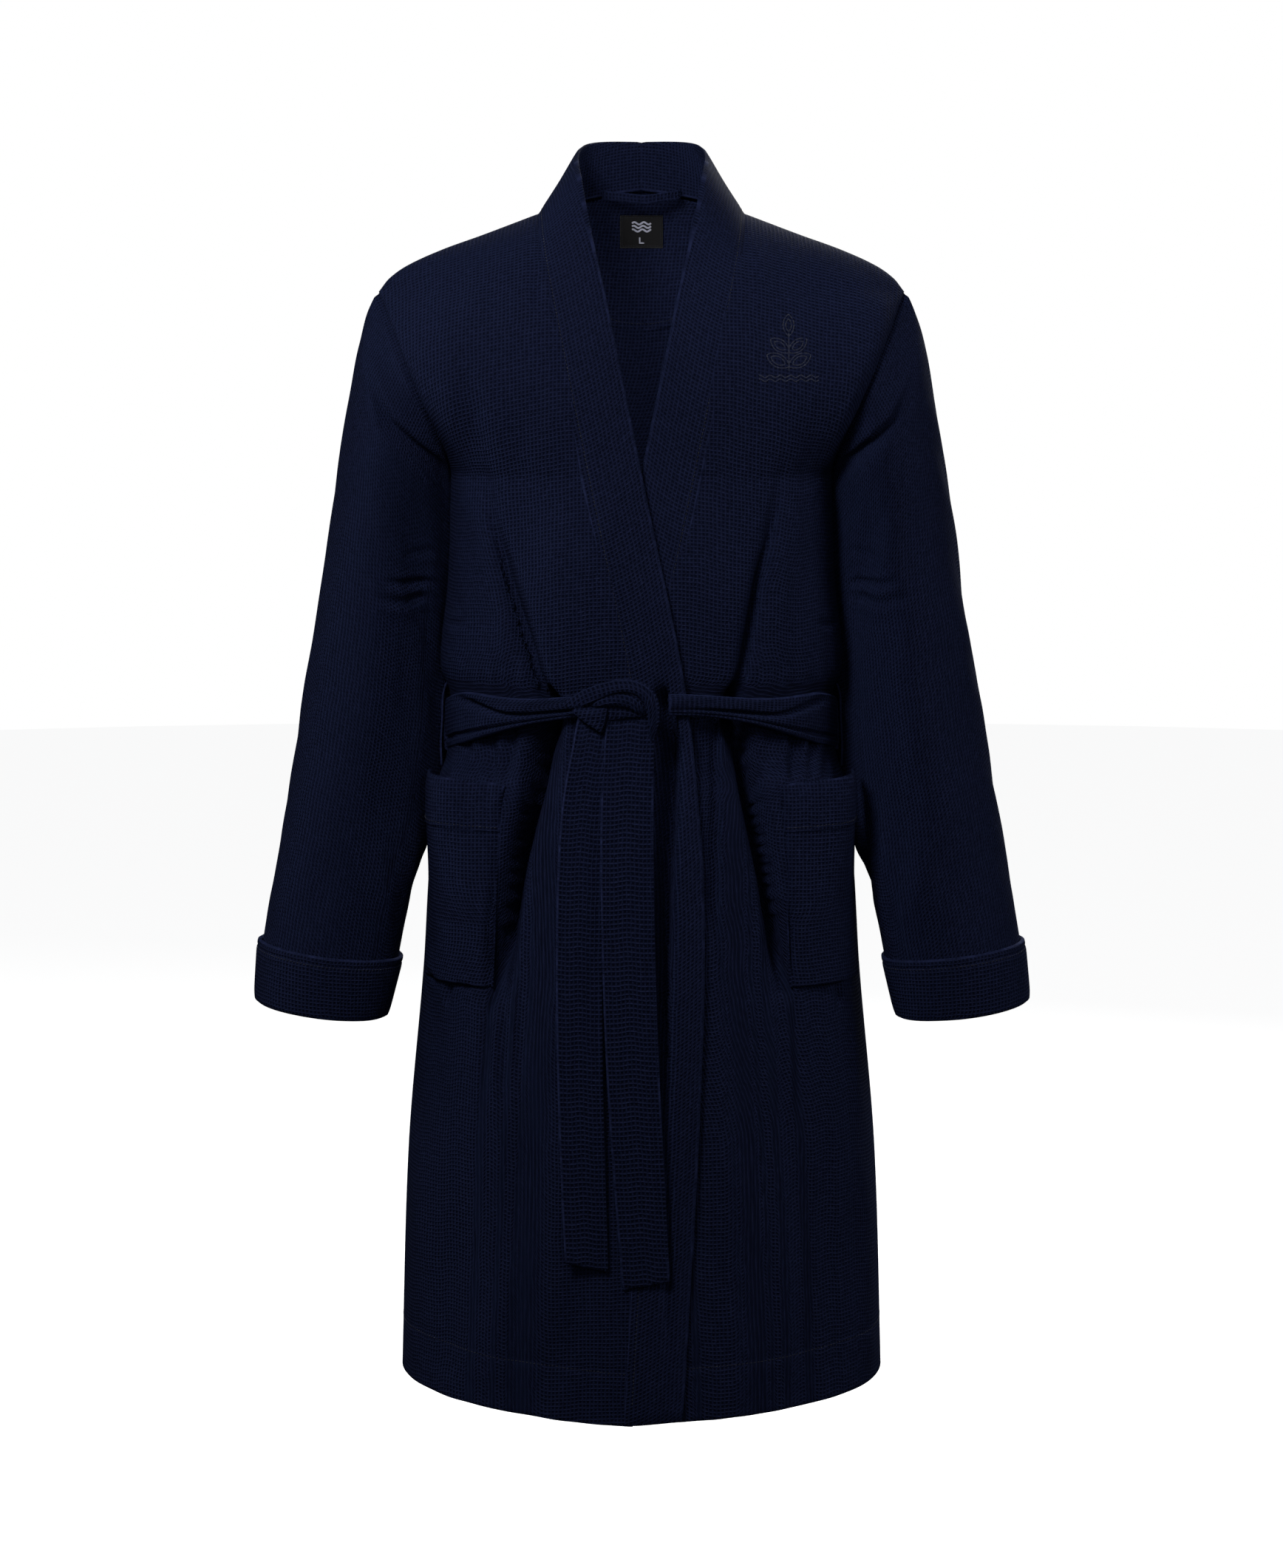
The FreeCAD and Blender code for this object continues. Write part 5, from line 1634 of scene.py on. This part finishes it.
# ---------------------------------------------------------------- embroidery
@dataclass
class Emblem:
    """Outline embroidery on the left breast: a sprig over two waves.

    Each leaf holds its height on the stem, its lean in degrees and its length.
    """

    surface: Points
    leaves: tuple[Triple, ...] = (
        (3.0, 62.0, 21.0), (3.0, -62.0, 21.0), (15.0, 54.0, 19.0), (15.0, -54.0, 19.0), (29.0, 0.0, 18.0))
    inset: float = 2.2

    def on_cloth(self, x: Points, z: Points) -> Points:
        """Points on the front's outer face at places across and up."""
        flat = self.surface.reshape(-1, 3)
        near = flat[(np.abs(flat[:, 0] - x.mean()) < 45.0) & (np.abs(flat[:, 2] - z.mean()) < 60.0)]
        away = np.hypot(x[:, None] - near[:, 0], z[:, None] - near[:, 2])
        closest = np.argsort(away, axis=1)[:, :4]
        weight = 1.0 / (np.take_along_axis(away, closest, 1) ** 2 + 0.01)
        y = (near[closest, 1] * weight).sum(1) / weight.sum(1)
        return np.stack([x, y - 0.15, z], -1)

    def lines(self) -> list[Points]:
        """The embroidery's lines."""
        low, high = (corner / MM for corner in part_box("chest_emblem"))
        root = np.array([(low.x + high.x) / 2, low.z + 12.0])
        found = [self.on_cloth(np.full(60, root[0]), np.linspace(root[1], root[1] + 31.0, 60))]
        for start, lean, length in self.leaves:
            lean = math.radians(lean)
            for inset in (0.0, self.inset):
                turn = np.linspace(0.0, 2.0 * math.pi, 120)
                half = (length * 0.26 - inset) * np.sign(np.sin(turn)) * np.abs(np.sin(turn)) ** 1.5
                up = length / 2 + (length / 2 - inset * 1.8) * np.cos(turn)
                found.append(self.on_cloth(root[0] + half * math.cos(lean) + up * math.sin(lean),
                                           root[1] + start + up * math.cos(lean) - half * math.sin(lean)))
        x = np.linspace(low.x + 2.0, high.x - 2.0, 90)
        for rise in (0.0, 3.2):
            found.append(self.on_cloth(x, low.z + 3.4 + rise + 1.0 * np.sin((x - low.x) * 0.72)))
        return found

    def build(self, stitches: StitchRows, thread: Material) -> None:
        """Lays the embroidery on the cloth."""
        made = stitches.lay("chest_emblem_outline", "robe_body", self.lines(), thread, 1.2, 2.0, 0.95)
        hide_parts("chest_emblem")


# ---------------------------------------------------------------- studio
@dataclass(frozen=True)
class SoftBox:
    """A square lamp.

    Attributes:
        name: The lamp's name.
        place: Where it stands.
        aim: The point it faces.
        size: Its side.
        power: Its strength in watts.
    """

    name: str
    place: Triple
    aim: Triple
    size: float
    power: float

    def build(self) -> None:
        """Adds the lamp, which the camera doesn't see."""
        data = bpy.data.lights.new(self.name, "AREA")
        data.size = self.size
        data.energy = self.power
        made = bpy.data.objects.new(self.name, data)
        made.visible_camera = False
        made.location = self.place
        made.rotation_euler = (Vector(self.aim) - Vector(self.place)).to_track_quat("-Z", "Y").to_euler()
        bpy.context.scene.collection.objects.link(made)


@dataclass
class Studio:
    """A pale floor, soft light and a camera in front of the robe."""

    distance: float = 3.0
    eye_height: float = -0.151
    plane: float = -0.078
    tilt: float = 4.04
    shift: float = 0.12
    lens: float = 78.4
    lights: tuple[SoftBox, ...] = (
        SoftBox("key", (-0.50, -1.40, 0.45), (0.0, -0.15, -0.30), 0.4, 14.0),
        SoftBox("fill", (0.30, -2.8, 0.2), (0.0, -0.1, -0.5), 0.8, 6.0),
        SoftBox("side", (2.3, -0.5, 0.5), (0.1, -0.1, -0.4), 0.8, 14.0),
        SoftBox("far_side", (-2.3, 0.2, 0.5), (-0.1, -0.1, -0.4), 0.8, 8.0),
        SoftBox("back", (0.8, 2.2, 1.0), (0.0, 0.0, -0.4), 1.6, 52.0),
        SoftBox("neck", (0.0, -0.115, -0.16), (0.0, 0.05, -0.17), 0.16, 0.12),
    )

    def camera(self) -> None:
        """The camera, in front of the chest, its frame moved down a little to hold the hem."""
        data = bpy.data.cameras.new("studio_camera")
        made = bpy.data.objects.new("studio_camera", data)
        bpy.context.scene.collection.objects.link(made)
        data.lens = self.lens
        data.shift_y = -self.shift
        made.location = (0.0, self.plane - self.distance, self.eye_height)
        made.rotation_euler = (math.radians(90.0 - self.tilt), 0.0, 0.0)
        bpy.context.scene.camera = made

    def world(self) -> None:
        """A white surround that gives little light of its own."""
        world = bpy.data.worlds.new("studio_surround")
        bpy.context.scene.world = world
        world.use_nodes = True
        tree = world.node_tree
        seen = tree.nodes["Background"]
        seen.inputs["Color"].default_value = (1.0, 1.0, 1.0, 1.0)
        glow = tree.nodes.new("ShaderNodeBackground")
        glow.inputs["Color"].default_value = (0.92, 0.95, 1.0, 1.0)
        glow.inputs["Strength"].default_value = 0.05
        way = tree.nodes.new("ShaderNodeLightPath")
        blend = tree.nodes.new("ShaderNodeMixShader")
        tree.links.new(way.outputs["Is Camera Ray"], blend.inputs[0])
        tree.links.new(glow.outputs[0], blend.inputs[1])
        tree.links.new(seen.outputs[0], blend.inputs[2])
        tree.links.new(blend.outputs[0], tree.nodes["World Output"].inputs[0])

    def floor(self) -> None:
        """A wide white floor below the hanging robe."""
        bpy.ops.mesh.primitive_circle_add(vertices=64, radius=9.0, fill_type="NGON",
                                          location=(0.0, 0.0, -1.45))
        made = bpy.context.object
        made.name = "studio_floor"
        nodes = MaterialNodes("studio_white")
        nodes.set(Base_Color=(0.9, 0.9, 0.9, 1.0), Roughness=0.9, Emission_Color=(1.0, 1.0, 1.0, 1.0),
                  Emission_Strength=0.9)
        made.data.materials.append(nodes.material)
        made.visible_diffuse = False
        made.visible_glossy = False

    def build(self) -> None:
        """Sets up the studio."""
        bpy.context.scene.view_settings.view_transform = "Standard"
        self.camera()
        self.world()
        self.floor()
        for light in self.lights:
            light.build()


def main() -> None:
    """Builds the robe in order and reports each piece."""
    form = RobeForm()
    finishes = Wardrobe(Finishes())
    stitches = StitchRows()
    panels = BodyPanels(form, finishes.body)
    panels.build()
    lines = panels.hem_stitches() + Neckband(form, finishes.body, panels).build()
    neck = NeckInside(form, finishes)
    neck.build()
    for side, seed in ((Side.RIGHT, 41), (Side.LEFT, 53)):
        cuff_line = Sleeve(form, finishes.body, side, seed).build()
        stitches.lay(side.word + "_cuff_stitches", side.word + "_arm", [cuff_line], finishes.thread)
        drape = panels.right if side is Side.RIGHT else panels.left
        lines.append(Pocket(form, finishes.body, side, drape).build())
    stitches.lay("seam_stitches", "robe_body", lines, finishes.thread)
    stitches.lay("neck_inside_stitches", "robe_body", neck.stitch_lines(), finishes.thread, 2.4, 1.6, 0.45)
    Emblem(panels.faces["left"]).build(stitches, finishes.outline)
    Belt(form, finishes.belt, finishes.body).build()
    Studio().build()


if __name__ == "__main__":
    main()
